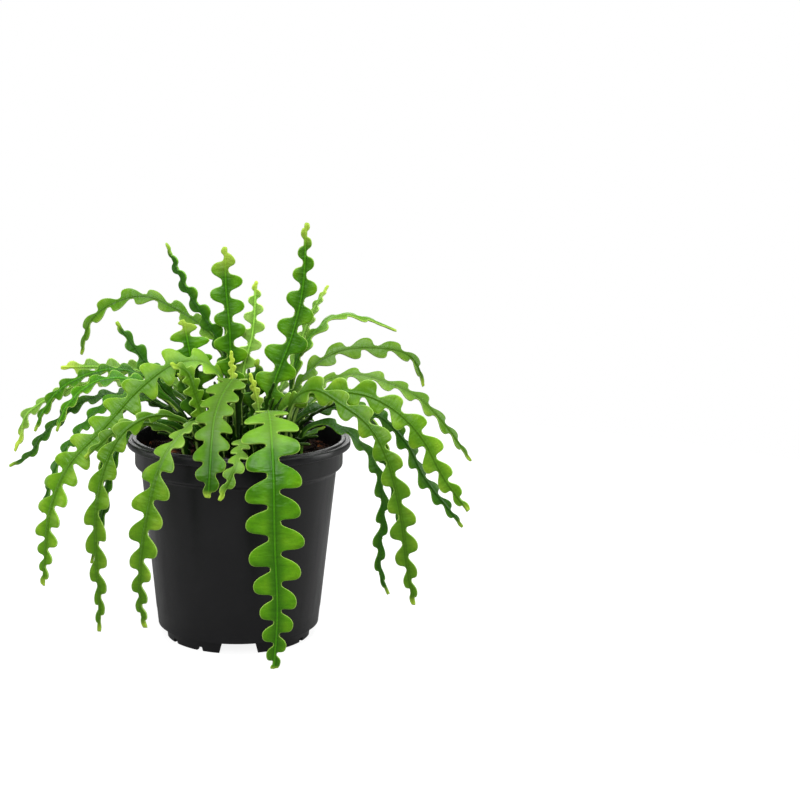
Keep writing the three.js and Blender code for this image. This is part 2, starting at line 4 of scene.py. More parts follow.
import bpy
import numpy as np
from mathutils import Matrix, Vector


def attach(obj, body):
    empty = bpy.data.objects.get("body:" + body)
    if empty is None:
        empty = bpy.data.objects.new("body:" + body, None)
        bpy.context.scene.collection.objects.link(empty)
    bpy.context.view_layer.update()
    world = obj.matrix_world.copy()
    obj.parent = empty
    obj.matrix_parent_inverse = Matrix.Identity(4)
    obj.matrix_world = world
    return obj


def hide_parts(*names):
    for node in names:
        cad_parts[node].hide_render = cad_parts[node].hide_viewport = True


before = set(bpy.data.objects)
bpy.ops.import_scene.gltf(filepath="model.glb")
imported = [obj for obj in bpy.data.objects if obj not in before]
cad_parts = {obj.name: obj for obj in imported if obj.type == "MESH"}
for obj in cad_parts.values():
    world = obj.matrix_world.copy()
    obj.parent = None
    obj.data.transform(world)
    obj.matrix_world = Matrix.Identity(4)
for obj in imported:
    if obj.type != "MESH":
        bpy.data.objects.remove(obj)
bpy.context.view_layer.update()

MM = 0.001
UP = Vector((0, 0, 1))
FULL_TURN = 2 * math.pi
# Points closer than this are one point
SAME_POINT = 0.002
rng = np.random.default_rng(12)

# Camera, where the photograph was taken from: its place, its turn to the right, its dip and its roll
CAMERA_PLACE = (0, -1150, 385.6)
CAMERA_TURN = math.radians(5.554)
CAMERA_DIP = math.radians(10.691)
CAMERA_ROLL = math.radians(1.271)
CAMERA_LENS = 75.51
CAMERA_SENSOR = 36

# Soft lights round the plant, all aimed at its middle: place, width, height and power in watts
LIT_MIDDLE = (0, 0, 120)
LIGHTS = {
    "overhead": ((100, -350, 1500), 1000, 900, 24),
    "right_side": ((1300, 100, 500), 400, 1300, 12),
    "left_side": ((-1300, 100, 500), 400, 1300, 7),
    "back": ((0, 1500, 700), 1600, 900, 12),
    "front": ((-250, -1500, 1000), 700, 700, 23),
}
# The paper and the pale room look bright, and cast only this much light of their own
PAPER_RADIUS = 800
PAPER_SIDES = 96
PAPER_LOOKS = 0.88
ROOM_LOOKS = 1
CAST_GLOW = 0.15

# Pot, moulded in one piece, for a plant sold in the six inch size
POT_HEIGHT = 142
LIP_RADIUS = 77.5
LIP_HEIGHT = 6
LIP_WIDTH = 6.5
BAND_RADIUS = 72.2
BAND_BOTTOM = 122.5
STEP_BOTTOM = 119.4
WALL_TOP_RADIUS = 67.9
WALL_FOOT_RADIUS = 56.5
WALL_FOOT_RISE = 0.4
WALL = 1.6
FOOT_RADIUS = 51
FOOT_WIDTH = 3.5
FOOT_HEIGHT = 8.5
CORNER = 2.5
FLOOR = 2
POT_SIDES = 128
CORNER_SEGMENTS = 4
SMOOTH_BELOW = math.radians(38)
# The heel between the foot ring and the wall: how far it hangs below the floor, how far out from the
# ring it starts and in from the wall it ends, and how far it has risen there
HEEL = {"down": 0.4, "out": 0.6, "in": 0.8, "rise": 0.6}
# A fine step where the two halves of the mould meet, this far above the foot ring
MOULD_LINE = {"rise": 12, "height": 0.5, "out": 0.25}
# The top of the lip, as steps in from its outside and down from its top: an outer bead, then a groove
LIP_BEAD = (0, 1.3)
LIP_GROOVE = [(1.6, 0.9), (2.3, 1.5), (3.1, 1.5), (3.8, 0)]
ROUNDED = {"foot": 0.9, "band": 1.2, "under_lip": 0.6, "bead": 1.1, "groove": 0.35, "rim": 0.9}

# Notches in the foot ring that let water out: a wide one on each side, with a small one at each end
WIDE_NOTCH = {"foot": 27, "head": 22.5, "height": 8}
SMALL_NOTCH = {"foot": 5.5, "head": 4, "height": 3}
NOTCH_TURNS = 4
SMALL_NOTCH_OFFSET = 31.5
# Drain holes, one between each two wide notches and one in the middle
DRAIN_RADIUS = 5
DRAIN_CIRCLE = 36
DRAIN_SIDES = 48

# Soil, loosely filled to just below the rim and a little higher in the middle
SOIL_GAP = 0.4
SOIL_FLOOR_GAP = 0.3
SOIL_EDGE = 129
SOIL_MIDDLE = 131.5
SOIL_RINGS = 46
SOIL_SIDES = 150
ROOT_DEPTH = 13
ROOT_BOTTOM = SOIL_MIDDLE - ROOT_DEPTH
# Clods and crumbs that its top is raised into, as size and height. They fade out this near the wall.
SOIL_LUMPS = [(12, 3.6), (3.5, 1.8)]
SOIL_LUMP_DETAIL = 2
SOIL_CALM_EDGE = 3

# Loose litter on the soil: how many, how far out, how high it lies, and the sizes that it comes in
BARK = {"count": 190, "reach": 67, "lift": 0.5}
BARK_SIZES = [(7, 4, 1.6), (5, 3.5, 1.4), (9, 3.5, 2), (4, 3, 1.5), (6, 2.2, 1.2)]
CRUMBS = {"count": 1100, "reach": 69, "lift": 0.4}
CRUMB_SIZES = [1.6, 2.2, 2.8, 3.6]
LITTER_TILTS = 0.3
LITTER_VARIES = 0.28
# How far its corners are knocked about, as a share of its size, and how much of that is outwards
BARK_KNOCKS = {"by": 0.32, "outwards": 0.2}
CRUMB_KNOCKS = {"by": 0.22, "outwards": 0.3}

# A stem is a fleshy blade with a raised rib. Its first stretch is a bare narrow stalk.
STALK = {"half": 2.4, "thick": 1.6, "step": 4, "points": 4}
TIP_HALF = 1.2
TIP_ROUNDING = 2.2
LINE_SAMPLES = 2400

# The blade swells to its full width over this many lobes
SWELLS_OVER = 1.8
# The lobes shrink towards the tip, to this share of their full size
SHRUNK = 0.17
# Where lobes rise slowly to their full size, the first has this share of it
FIRST_LOBE = 0.45
# Lobes crowd towards the tip, down to this share of their full spacing
CROWDED = 0.35
# How much the lobes of a stem differ in size, place and bend, and the stems in tone
VARIES = {"size": 0.05, "place": 0.035, "bend": 0.11, "tone": 0.1}
# Lobes curl with the square of the distance out, which counts up to this share of the half width
CURLS_UP_TO = 1.2

# Flesh of a blade, as half thicknesses: at its core, at its edge, and of its rib, groove and margin
CORE = 0.95
EDGE = 0.6
RIB = {"height": 0.42, "width": 0.5}
GROOVE = {"depth": 0.2, "at": 1.2, "width": 0.35}
MARGIN = {"height": 0.1, "in": 0.7, "width": 0.4}
EDGE_ROUNDING = 0.5
# Blades under this half width are finer: their relief goes down to one share, their flesh to another
FULL_HALF = 9
FINEST = {"relief": 0.6, "flesh": 0.75}

# Cross sections of a blade: how close they lie in the lobes, and how they close in on the tip
STATIONS_A_MM = 0.9
LEAST_STATIONS = 8
TIP_STATIONS = (1, 0.8, 0.6, 0.42, 0.27, 0.15, 0.06, 0)
TIP_CLEARANCE = 0.3
# Points of a cross section: the stretch over the rib and the one round the rim, each at most so long
# and at most that share of the width, with points at these shares of it
OVER_RIB = {"most": 1.7, "share": 0.42, "points": (0, 0.28, 0.64, 1)}
ROUND_RIM = {"most": 0.5, "share": 0.25, "points": (1, 0.3, 0)}
LAST_POINT = 8
# Cross sections leave the rib square and sweep along the lobe with this power of the distance out
SWEEP = 1.6
# Folds in the flesh run out from the rib, so their pattern is stretched that way
FOLD_STRETCH = 0.3

# Tufts of wool sit in the notches, but for those of the last few lobes
TUFT_RADIUS = 0.4
BARE_OF_WOOL = 2.2

# One lobe from notch to notch: how far along it, and how wide as a share of the half width.
# The side towards the root slopes out and the side towards the tip drops almost straight in.
LOBES = {
    "full": [(0, .22), (.07, .25), (.135, .38), (.205, .57), (.295, .76), (.4, .9), (.51, .975), (.63, 1),
             (.735, .98), (.815, .89), (.86, .73), (.878, .52), (.895, .34), (.935, .24)],
    "bead": [(0, .22), (.09, .24), (.16, .34), (.22, .54), (.3, .78), (.41, .95), (.52, 1), (.63, .98),
             (.72, .88), (.785, .7), (.825, .48), (.86, .31), (.93, .23)],
    "round": [(0, .21), (.08, .24), (.165, .37), (.245, .55), (.335, .74), (.43, .89), (.53, .98), (.63, 1),
              (.735, .97), (.81, .86), (.86, .68), (.888, .46), (.92, .29)],
    "wavy": [(0, .42), (.08, .44), (.165, .54), (.245, .67), (.335, .81), (.43, .92), (.53, .985), (.63, 1),
             (.735, .98), (.81, .9), (.86, .77), (.888, .6), (.92, .48)],
    "plain": [(0, .25), (.1, .28), (.22, .41), (.33, .61), (.44, .82), (.55, .96), (.65, 1), (.75, .94),
              (.83, .77), (.875, .54), (.92, .34)],
    "young": [(0, .42), (.12, .46), (.28, .66), (.45, .9), (.62, 1), (.77, .95), (.88, .72), (.95, .5)],
}

# Short thin shoots that crowd round the feet of the stems: how many there are, how far out they root,
# how long they are, and how far they lean out as a share of that
SHOOTS = [
    {"count": 30, "root": (4, 28), "length": (26, 56), "lean": (0.1, 0.6)},
    {"count": 22, "root": (26, 44), "length": (28, 52), "lean": (0.6, 1.1)},
]
SHOOT_RANGES = {"face": (-150, -30), "half": (2.4, 4.2), "pitch": (7, 9.5)}
# the shoots take the dark skin at a low tone: painted shade, which stands for the shade deep in the crown
SHOOT_FORM = {"bare": 9, "lobes": "plain", "fade": 3, "skin": "dark", "lime": 0.1, "tone": 0.25}
# The steps of a shoot's route, the height it starts from over the soil, the power of the way along
# with which it leans out, and the share by which it sags as it leans
SHOOT_ROUTE = {"steps": (0.25, 0.5, 0.75, 1), "base": 2, "arch": 1.5, "sag": 0.4}
# How unevenly they stand round the plant, as a share of their spacing
SHOOT_SLIP = 0.8
# Those whose tips come this far to the front stay short, under the broad stems there
SHOOTS_IN_FRONT = {"beyond": -28, "length": 24}


@dataclass
class Stem:
    """root in the soil; face, the side that the blade faces, in degrees round from +X; half its width
    over the lobes; pitch from lobe to lobe; bare, the length of its stalk; the form of its lobes; fade,
    over how many of them they shrink to the tip; skin, its finish, whose bright, mid and dark greens
    are partly painted light and shade; its route above the soil, as x, y, z and the turn of the blade
    about its own line, where a point without one keeps the turn before it; lean of the lobes to the
    tip; cup, how far they curl back; rise, over how many lobes they grow from the stalk; lime, the
    length of the fresh tip; and tone, how light it is, partly its own green and partly painted light
    and shade."""
    name: str
    root: tuple
    face: float
    half: float
    pitch: float
    bare: float
    lobes: str
    fade: float
    skin: str
    route: list
    lean: float = 0.06
    cup: float = 0.05
    rise: float = 0
    lime: float = 8
    tone: float = 1


STEMS = [
    # the tallest, on the right of the middle
    Stem("stem_upright_1", root=(20, 3), face=90, half=13.5, pitch=21, bare=28, lobes="bead", fade=5,
         skin="mid", lean=0, lime=20, tone=0.85, route=[(20, 3, 162), (25, 4, 182), (36, 6, 212),
         (43, 7, 244), (45, 8, 290)]),
    Stem("stem_upright_2", root=(-6, 14), face=90, half=11.4, pitch=17, bare=44, lobes="bead", fade=1.5,
         skin="mid", lean=0, lime=24, tone=0.85, route=[(-6, 13, 172), (-7, 12, 212), (-10, 14, 246),
         (-10, 15, 272)]),
    # leans back to the left
    Stem("stem_upright_3", root=(-10, 24), face=90, half=8, pitch=16, bare=46, lobes="bead", fade=4,
         skin="dark", lean=0, lime=12, tone=1.5, route=[(-10, 24, 195, -30), (-20, 27, 214, -40),
         (-37, 33, 240), (-52, 38, 272)]),
    # a young one, still narrow
    # its high tone is painted light, which lifts it out of the shade it stands in
    Stem("stem_upright_4", root=(4, 22), face=90, half=8.4, pitch=13, bare=46, lobes="bead", fade=3,
         skin="young", lean=0, lime=12, tone=1.6, route=[(2, 23, 180), (9, 22, 212), (11, 20, 248)]),
    Stem("stem_upright_5", root=(22, 26), face=60, half=5, pitch=8.5, bare=46, lobes="young", fade=3.6,
         skin="young", lime=14, tone=1.4, route=[(26, 30, 160), (38, 40, 186), (52, 45, 223),
         (63, 49, 242)]),
    # a thin arch to the right, seen on its edge
    Stem("stem_upright_6", root=(35, 19), face=20, half=5.5, pitch=17, bare=50, lobes="plain", fade=2.8,
         skin="mid", route=[(36, 22, 165, 22), (41, 26, 191), (52, 31, 209), (68, 37, 221), (88, 44, 219),
         (113, 50, 209)]),
    # a long arch to the left
    Stem("stem_upright_7", root=(-15, 35), face=180, half=6.6, pitch=18, bare=60, lobes="round", fade=2.6,
         rise=2, skin="bright", lime=6, tone=1.12, route=[(-14, 38, 165), (-13, 42, 195, -35),
         (-24, 44, 210, -62), (-45, 46, 224), (-68, 47, 233), (-91, 48, 227), (-106, 49, 214),
         (-113, 50, 190)]),
    Stem("stem_upright_8", root=(-22, 17), face=180, half=8, pitch=16, bare=46, lobes="plain", fade=2.6,
         skin="dark", tone=1.2, route=[(-30, 17, 150, -45), (-52, 17, 170, -72), (-67, 18, 192),
         (-86, 21, 218)]),
    # short and broad
    Stem("stem_upright_9", root=(-22, 6), face=90, half=15, pitch=12.5, bare=38, lobes="bead", fade=1.8,
         skin="mid", lean=0, lime=14, route=[(-27, 6, 165), (-32, 6, 187), (-39, 8, 222)]),
    # short, between the tall ones
    Stem("stem_upright_10", root=(9, 11), face=90, half=9, pitch=15, bare=24, lobes="bead", fade=2,
         skin="dark", route=[(9, 11, 152), (10, 11, 172), (13, 12, 194)]),
    # short, at the left of the middle
    Stem("stem_upright_11", root=(-26, -10), face=90, half=9, pitch=15, bare=26, lobes="bead", fade=2,
         skin="dark", route=[(-28, -11, 150), (-33, -12, 168), (-42, -13, 188)]),
    # the long broad one that hangs at the left
    Stem("stem_left_1", root=(-10, -3), face=180, half=12, pitch=16.5, bare=50, lobes="round", fade=4.6,
         skin="bright", lean=0.08, tone=1.2, route=[(-10, -2, 163), (-14, -2, 184, -10),
         (-25, -4, 194, -30), (-43, -8, 194, -60), (-66, -13, 179, -80), (-90, -19, 153, -75),
         (-115, -25, 126, -70), (-127, -28, 97, -60), (-131, -30, 65), (-133, -30, 43)]),
    # hangs lowest at the left
    Stem("stem_left_2", root=(-27, -22), face=180, half=8.8, pitch=21, bare=42, lobes="round", fade=4.2,
         rise=3.4, skin="bright", lean=0.08, tone=1.2, route=[(-31, -23, 150, -40), (-43, -27, 160, -70),
         (-60, -34, 162, -80), (-77, -43, 153), (-87, -47, 136), (-94, -51, 108, -75), (-95, -53, 70),
         (-93, -54, 40), (-94, -54, 18)]),
    Stem("stem_left_3", root=(-38, -7), face=180, half=4.2, pitch=15, bare=40, lobes="young", fade=3.6,
         skin="dark", tone=1.3, route=[(-40, -10, 148, -40), (-55, -17, 155, -60), (-73, -25, 150),
         (-86, -31, 128), (-91, -35, 98), (-100, -35, 60)]),
    Stem("stem_left_4", root=(-37, 3), face=180, half=5.4, pitch=14.5, bare=44, lobes="plain", fade=2.6,
         skin="dark", tone=1.4, route=[(-42, 2, 153, -25), (-62, -2, 168), (-85, -6, 169, -50),
         (-106, -9, 151), (-125, -13, 122), (-135, -13, 90)]),
    # reaches furthest to the left
    Stem("stem_left_5", root=(-38, 18), face=180, half=5.2, pitch=14.5, bare=44, lobes="plain", fade=2.6,
         skin="dark", tone=1.2, route=[(-44, 19, 152, -20), (-63, 20, 163, -58), (-87, 18, 167),
         (-110, 16, 162), (-136, 14, 139), (-146, 13, 125), (-160, 12, 117)]),
    Stem("stem_left_6", root=(-38, 28), face=180, half=5, pitch=13.5, bare=60, lobes="plain", fade=2.2,
         skin="young", lime=24, tone=1.35, route=[(-46, 32, 154, -20), (-62, 37, 168, -60), (-88, 39, 174),
         (-118, 40, 168), (-141, 42, 156), (-152, 43, 146), (-155, 43, 133), (-160, 42, 121)]),
    Stem("stem_left_7", root=(-27, 28), face=180, half=5.6, pitch=14.5, bare=48, lobes="plain", fade=2.4,
         skin="mid", route=[(-36, 28, 158, -20), (-56, 28, 173, -62), (-84, 29, 183), (-107, 30, 179),
         (-126, 30, 168), (-139, 30, 150), (-144, 30, 138)]),
    Stem("stem_left_8", root=(-24, 42), face=175, half=6.8, pitch=15, bare=44, lobes="plain", fade=1.4,
         skin="young", lime=20, tone=1.35, route=[(-30, 43, 150, -20), (-45, 45, 168, -60),
         (-68, 48, 178, -75), (-98, 52, 181), (-128, 55, 180)]),
    Stem("stem_left_9", root=(-30, 12), face=180, half=5.6, pitch=14, bare=50, lobes="plain", fade=2.4,
         skin="mid", tone=1.05, route=[(-38, 11, 152, -20), (-60, 8, 174, -62), (-84, 6, 181),
         (-102, 5, 177), (-118, 3, 162), (-126, 2, 144)]),
    Stem("stem_left_10", root=(-37, -18), face=190, half=6, pitch=14.5, bare=36, lobes="plain", fade=1.8,
         skin="bright", tone=1.1, route=[(-42, -19, 145, -45), (-60, -24, 155, -68), (-82, -29, 152),
         (-94, -31, 142), (-104, -32, 133)]),
    # the widest, down the front of the pot
    Stem("stem_front_1", root=(20, -26), face=-90, half=18.5, pitch=20.6, bare=41, lobes="full", fade=4.8,
         rise=1.8, skin="mid", lean=0.04, lime=3, route=[(19, -33, 158), (19, -47, 168), (20, -64, 165),
         (21, -85, 153), (22, -95, 131), (23, -98, 91), (25, -99, 45), (23, -98, 6)]),
    Stem("stem_front_2", root=(-12, -30), face=-110, half=11.8, pitch=21, bare=42, lobes="round", fade=5,
         rise=4, skin="bright", lean=0.08, tone=1.1, route=[(-17, -32, 150), (-28, -38, 159),
         (-40, -58, 153), (-51, -73, 138), (-59, -79, 108), (-64, -80, 72), (-64, -78, 41),
         (-61, -77, 28)]),
    Stem("stem_front_3", root=(0, -14), face=-95, half=12.5, pitch=15, bare=48, lobes="wavy", fade=2.2,
         rise=2, skin="mid", lime=6, tone=0.8, route=[(-1, -13, 168), (-3, -18, 184), (-10, -34, 179),
         (-16, -56, 167), (-18, -76, 152), (-19, -86, 135), (-20, -88, 119)]),
    Stem("stem_front_4", root=(8, -33), face=-95, half=6.4, pitch=12, bare=38, lobes="round", fade=2,
         skin="bright", lime=10, route=[(6, -40, 145), (2, -54, 150), (0, -73, 147), (-3, -89, 139),
         (-13, -95, 119)]),
    Stem("stem_front_5", root=(-18, -17), face=120, half=7, pitch=8, bare=32, lobes="young", fade=2.2,
         skin="bright", lime=9, route=[(-24, -18, 155), (-30, -19, 174), (-36, -20, 190), (-47, -22, 196)]),
    Stem("stem_front_6", root=(-1, 4), face=90, half=3.4, pitch=6, bare=34, lobes="young", fade=3,
         skin="young", lime=45, tone=1.2, route=[(-4, 5, 166), (-6, 5, 201)]),
    Stem("stem_front_7", root=(11, -5), face=90, half=4.4, pitch=7, bare=34, lobes="young", fade=3,
         skin="young", lime=30, tone=1.2, route=[(13, -4, 162), (7, -4, 187)]),
    # a short low one that stays inside the rim
    Stem("stem_front_8", root=(42, -3), face=0, half=4.2, pitch=9, bare=22, lobes="young", fade=2,
         skin="dark", route=[(44, -2, 141, 20), (50, 1, 144), (60, 6, 147)]),
    # the top arch at the right
    Stem("stem_right_1", root=(26, 14), face=5, half=8.2, pitch=20, bare=44, lobes="round", fade=3,
         rise=2.6, skin="bright", tone=1.1, route=[(30, 12, 158, 20), (40, 9, 175, 52), (54, 12, 191),
         (72, 16, 200), (99, 20, 201), (117, 22, 197), (125, 23, 189), (131, 24, 173)]),
    # reaches furthest to the right
    Stem("stem_right_2", root=(34, -9), face=-8, half=6.6, pitch=17, bare=44, lobes="plain", fade=2.8,
         rise=2, skin="bright", route=[(38, -8, 158, 20), (46, -9, 174, 40), (62, -11, 184), (80, -15, 188),
         (101, -18, 183), (121, -20, 174), (138, -23, 158), (160, -24, 129)]),
    Stem("stem_right_3", root=(22, -14), face=-15, half=10, pitch=19, bare=42, lobes="round", fade=3,
         skin="bright", tone=1.3, route=[(25, -16, 158, 40), (38, -21, 172, 70), (62, -27, 178, 75),
         (86, -34, 177), (106, -39, 167), (123, -43, 150), (139, -46, 122), (156, -46, 99)]),
    Stem("stem_right_4", root=(33, 6), face=-5, half=7, pitch=16, bare=40, lobes="plain", fade=2.8,
         skin="dark", route=[(37, 5, 150, 30), (50, 5, 159, 52), (74, 4, 161), (98, 1, 155), (117, -2, 136),
         (130, -4, 112), (158, -6, 77)]),
    # the broad one that hangs at the right
    Stem("stem_right_5", root=(31, -22), face=-28, half=9, pitch=19, bare=44, lobes="round", fade=3,
         skin="bright", tone=1.15, route=[(32, -25, 155, 40), (39, -34, 176, 60), (51, -41, 182, 70),
         (68, -50, 174), (86, -59, 161), (98, -65, 140), (108, -68, 101), (112, -68, 72), (118, -67, 39)]),
    Stem("stem_right_6", root=(42, -14), face=-30, half=5.2, pitch=18, bare=40, lobes="plain", fade=2.8,
         skin="dark", route=[(45, -19, 150, 50), (57, -24, 156), (72, -31, 152), (89, -38, 136),
         (96, -41, 116), (98, -41, 95), (96, -41, 72), (97, -40, 54), (103, -39, 38)]),
    # down the back of the pot
    Stem("stem_back_1", root=(6, 40), face=90, half=12, pitch=18.5, bare=40, lobes="round", fade=3.6,
         skin="mid", route=[(5, 46, 150), (4, 60, 162), (4, 80, 155), (5, 94, 130), (5, 98, 92),
         (2, 98, 55), (1, 97, 22)]),
    Stem("stem_back_2", root=(-8, 46), face=120, half=9, pitch=18.5, bare=36, lobes="plain", fade=3.6,
         skin="bright", route=[(-14, 52, 148), (-27, 66, 156), (-41, 80, 148), (-50, 89, 125),
         (-53, 92, 92), (-51, 91, 60)]),
    Stem("stem_back_3", root=(20, 38), face=60, half=9, pitch=18.5, bare=38, lobes="plain", fade=3.6,
         skin="dark", route=[(23, 48, 150), (30, 62, 160), (42, 78, 151), (52, 88, 128), (57, 91, 98),
         (57, 91, 62), (55, 89, 36)]),
    Stem("stem_back_4", root=(-34, 36), face=140, half=7, pitch=18.5, bare=38, lobes="plain", fade=3.6,
         skin="mid", route=[(-42, 42, 150), (-60, 55, 162), (-79, 68, 155), (-93, 76, 130), (-100, 78, 99),
         (-107, 79, 45)]),
    Stem("stem_back_5", root=(42, 26), face=40, half=7, pitch=18.5, bare=38, lobes="plain", fade=3.6,
         skin="mid", route=[(46, 38, 150), (62, 54, 162), (84, 66, 154), (101, 74, 132), (110, 76, 104),
         (123, 76, 49)]),
    Stem("stem_back_6", root=(-3, 32), face=90, half=7, pitch=18.5, bare=40, lobes="plain", fade=3.6,
         skin="mid", route=[(-6, 40, 150), (-9, 50, 174), (-10, 56, 200), (-10, 60, 220)]),
    Stem("stem_back_7", root=(33, 31), face=45, half=6, pitch=13, bare=34, lobes="plain", fade=2.5,
         skin="young", route=[(37, 42, 148), (43, 54, 157), (51, 66, 156), (57, 74, 148)]),
]


def linear(colour):
    """An sRGB hex colour as linear red, green and blue, with alpha."""
    shares = [int(colour[i:i + 2], 16) / 255 for i in (1, 3, 5)]
    return (*[c / 12.92 if c <= 0.04045 else ((c + 0.055) / 1.055) ** 2.4 for c in shares], 1)


def plug(tree, node, inputs):
    """Sets the inputs of a node, by name or number, or links them where a socket is given."""
    for name, value in inputs.items():
        if isinstance(value, bpy.types.NodeSocket):
            tree.links.new(value, node.inputs[name])
        else:
            node.inputs[name].default_value = value


def add_node(tree, kind, inputs, **settings):
    made = tree.nodes.new(kind)
    for name, value in settings.items():
        setattr(made, name, value)
    plug(tree, made, inputs)
    return made


def noise(tree, where, size, detail=2, roughness=0.5):
    """A noise pattern with patches of this size in millimetres."""
    inputs = {"Vector": where, "Scale": 1 / (size * MM), "Detail": detail, "Roughness": roughness}
    return add_node(tree, "ShaderNodeTexNoise", inputs).outputs[0]


def stretched(tree, where, shares):
    """The place a pattern reads, scaled so that the pattern runs longer where a share is small."""
    return add_node(tree, "ShaderNodeMapping", {0: where, "Scale": shares}).outputs[0]


def stored(tree, name):
    """What the blade of a stem keeps under this name for each of its points."""
    return add_node(tree, "ShaderNodeAttribute", {}, attribute_name=name).outputs


def span(tree, value, source, target, kind="LINEAR"):
    """Where a value lies in its source range, carried over to a target range."""
    inputs = dict(enumerate([value, *source, *target]))
    return add_node(tree, "ShaderNodeMapRange", inputs, interpolation_type=kind).outputs[0]


def product(tree, first, second, kind="ShaderNodeMath"):
    return add_node(tree, kind, {0: first, 1: second}, operation="MULTIPLY").outputs[0]


def average(tree, share, first, second):
    """Two patterns in one, by this share of the second."""
    return add_node(tree, "ShaderNodeMix", {0: share, 2: first, 3: second}).outputs[0]


def blend(tree, share, first, second, kind="MIX"):
    """One colour over another, by this share of the second."""
    inputs = {0: share, 6: first, 7: second}
    return add_node(tree, "ShaderNodeMix", inputs, data_type="RGBA", blend_type=kind).outputs[2]


def ramp(tree, value, colours):
    """The colour at a value, between these (place, colour) stops."""
    made = add_node(tree, "ShaderNodeValToRGB", {0: value})
    stops = made.color_ramp.elements
    for i, (place, colour) in enumerate(colours):
        stop = stops[i] if i < len(stops) else stops.new(place)
        stop.position = place
        stop.color = linear(colour)
    return made.outputs[0]


def bump(tree, height, strength, depth, **over):
    """Raises the surface by a pattern, this many millimetres deep."""
    inputs = {"Height": height, "Strength": strength, "Distance": depth * MM, **over}
    return add_node(tree, "ShaderNodeBump", inputs).outputs[0]


def new_material(name):
    """A material with its node tree, and the place on the piece that its patterns read."""
    material = bpy.data.materials.new(name)
    material.use_nodes = True
    tree = material.node_tree
    return material, tree, add_node(tree, "ShaderNodeTexCoord", {}).outputs["Object"]


def finished(material, **inputs):
    """Plugs the inputs of a material's shader, named with _ for each space."""
    tree = material.node_tree
    plug(tree, tree.nodes["Principled BSDF"], {name.replace("_", " "): inputs[name] for name in inputs})
    return material


def cactus_skin(shade, flesh, deep, light, tip, margin, rib):
    """Waxy cuticle over green flesh: a soft broad gloss, a paler rib, partly its own colour and partly a
    painted highlight, between two dark grooves of painted shade, a thin pale margin, darker flesh near the
    rib as painted shade, a pale painted sheen where the blade lies flat, and a lime tip where the stem
    still grows."""
    material, tree, spots = new_material("cactus_skin_" + shade)
    place = add_node(tree, "ShaderNodeSeparateXYZ", {0: stored(tree, "place")["Vector"]})
    blade, out, rim = place.outputs
    patches = noise(tree, spots, 14.286)
    mottled = ramp(tree, patches, [(0.2, deep), (0.48, flesh), (0.8, light)])
    # the flesh is darker within 8 mm of the rib, as painted shade, and lighter in the lobes
    near_rib = span(tree, out, (0.5, 8), (0.9, 0), "SMOOTHSTEP")
    shaded_near_rib = blend(tree, near_rib, mottled, linear(deep))
    # a rib, paler by its own colour and by a painted highlight, dark grooves of painted shade beside it,
    # and plain flesh from 1.4 mm out
    line = span(tree, out, (0, 2.2), (0, 1))
    rib_and_groove_relief = ramp(tree, line, [(0, rib), (0.18, rib), (0.4, "#3c3c3c"), (0.62, "#787878")])
    ribbed = blend(tree, 0.6, shaded_near_rib, rib_and_groove_relief, "OVERLAY")
    # the bare stalk in deep green, darkened further as painted shade for the stalks down in the crown
    stalked = blend(tree, blade, linear("#183606"), ribbed)
    # pale margin, in the last 0.8 mm to the edge
    near_edge = span(tree, rim, (0.1, 0.8), (0.6, 0), "SMOOTHSTEP")
    margined = blend(tree, near_edge, stalked, linear(margin))
    # a little paler where the blade lies flat: a painted sheen of the light from above, in the margin's
    # pale colour
    flat_sheen = span(tree, stored(tree, "flat_sheen")["Fac"], (0.4, 1), (0, 0.2), "SMOOTHSTEP")
    with_flat_sheen = blend(tree, product(tree, flat_sheen, blade), margined, linear(margin))
    # a grain of 1.25 mm, and the tone of the whole stem, partly its own and partly painted light and shade
    grain = noise(tree, spots, 1.25, roughness=0.6)
    speckled = span(tree, grain, (0.35, 0.7), (0.95, 1.05))
    shade_of_stem = product(tree, speckled, stored(tree, "tone")["Fac"])
    toned = product(tree, with_flat_sheen, shade_of_stem, "ShaderNodeVectorMath")
    young = span(tree, stored(tree, "growth")["Fac"], (0, 1), (0, 0.8), "SMOOTHSTEP")
    tipped = blend(tree, young, toned, linear(tip))
    gloss = span(tree, patches, (0.3, 0.7), (0.34, 0.46))
    # dents of 5 mm, and low folds that run from the rib out into the lobes
    dented = bump(tree, noise(tree, spots, 5, 1, 0.4), 0.35, 1.2)
    folds = noise(tree, stored(tree, "flow")["Vector"], 3.125)
    folded = bump(tree, folds, 0.6, 1, Normal=dented)
    return finished(material, Base_Color=tipped, Roughness=gloss, Normal=folded, IOR=1.45,
                    Specular_IOR_Level=0.2)


def black_polypropylene():
    """Injection-moulded black polypropylene: satin, with a fine moulded grain, faint streaks down the
    wall where the plastic flowed, and a little dust and scuffing."""
    material, tree, spots = new_material("black_polypropylene")
    # grain of 0.5 mm, drawn coarser than the real 0.2 mm so that it shows
    grained = bump(tree, noise(tree, spots, 0.5, roughness=0.6), 0.2, 0.2)
    # streaks 6 mm wide and 84 mm long
    streaks = noise(tree, stretched(tree, spots, (1, 1, 0.07)), 5.882, 4, 0.6)
    gloss = span(tree, streaks, (0.3, 0.7), (0.3, 0.42))
    dust = noise(tree, spots, 22.222, 6, 0.65)
    colour = ramp(tree, dust, [(0.4, "#09090b"), (0.62, "#0d0d0f"), (0.8, "#151517")])
    return finished(material, Base_Color=colour, Roughness=gloss, Normal=grained, IOR=1.49,
                    Specular_IOR_Level=0.34)


def potting_peat(name):
    """Damp peat and composted bark: nearly black, matt, reddish brown where it dries, and crumbly."""
    material, tree, spots = new_material(name)
    # crumbs of 2 mm in clumps of 12 mm
    crumbs = noise(tree, spots, 2, 4, 0.7)
    clumps = noise(tree, spots, 11.765, 3, 0.6)
    colour = ramp(tree, average(tree, 0.5, crumbs, clumps),
                  [(0.38, "#080504"), (0.54, "#170d08"), (0.66, "#3a1d10")])
    return finished(material, Base_Color=colour, Roughness=0.92, Normal=bump(tree, crumbs, 0.9, 1.2),
                    Specular_IOR_Level=0.1)


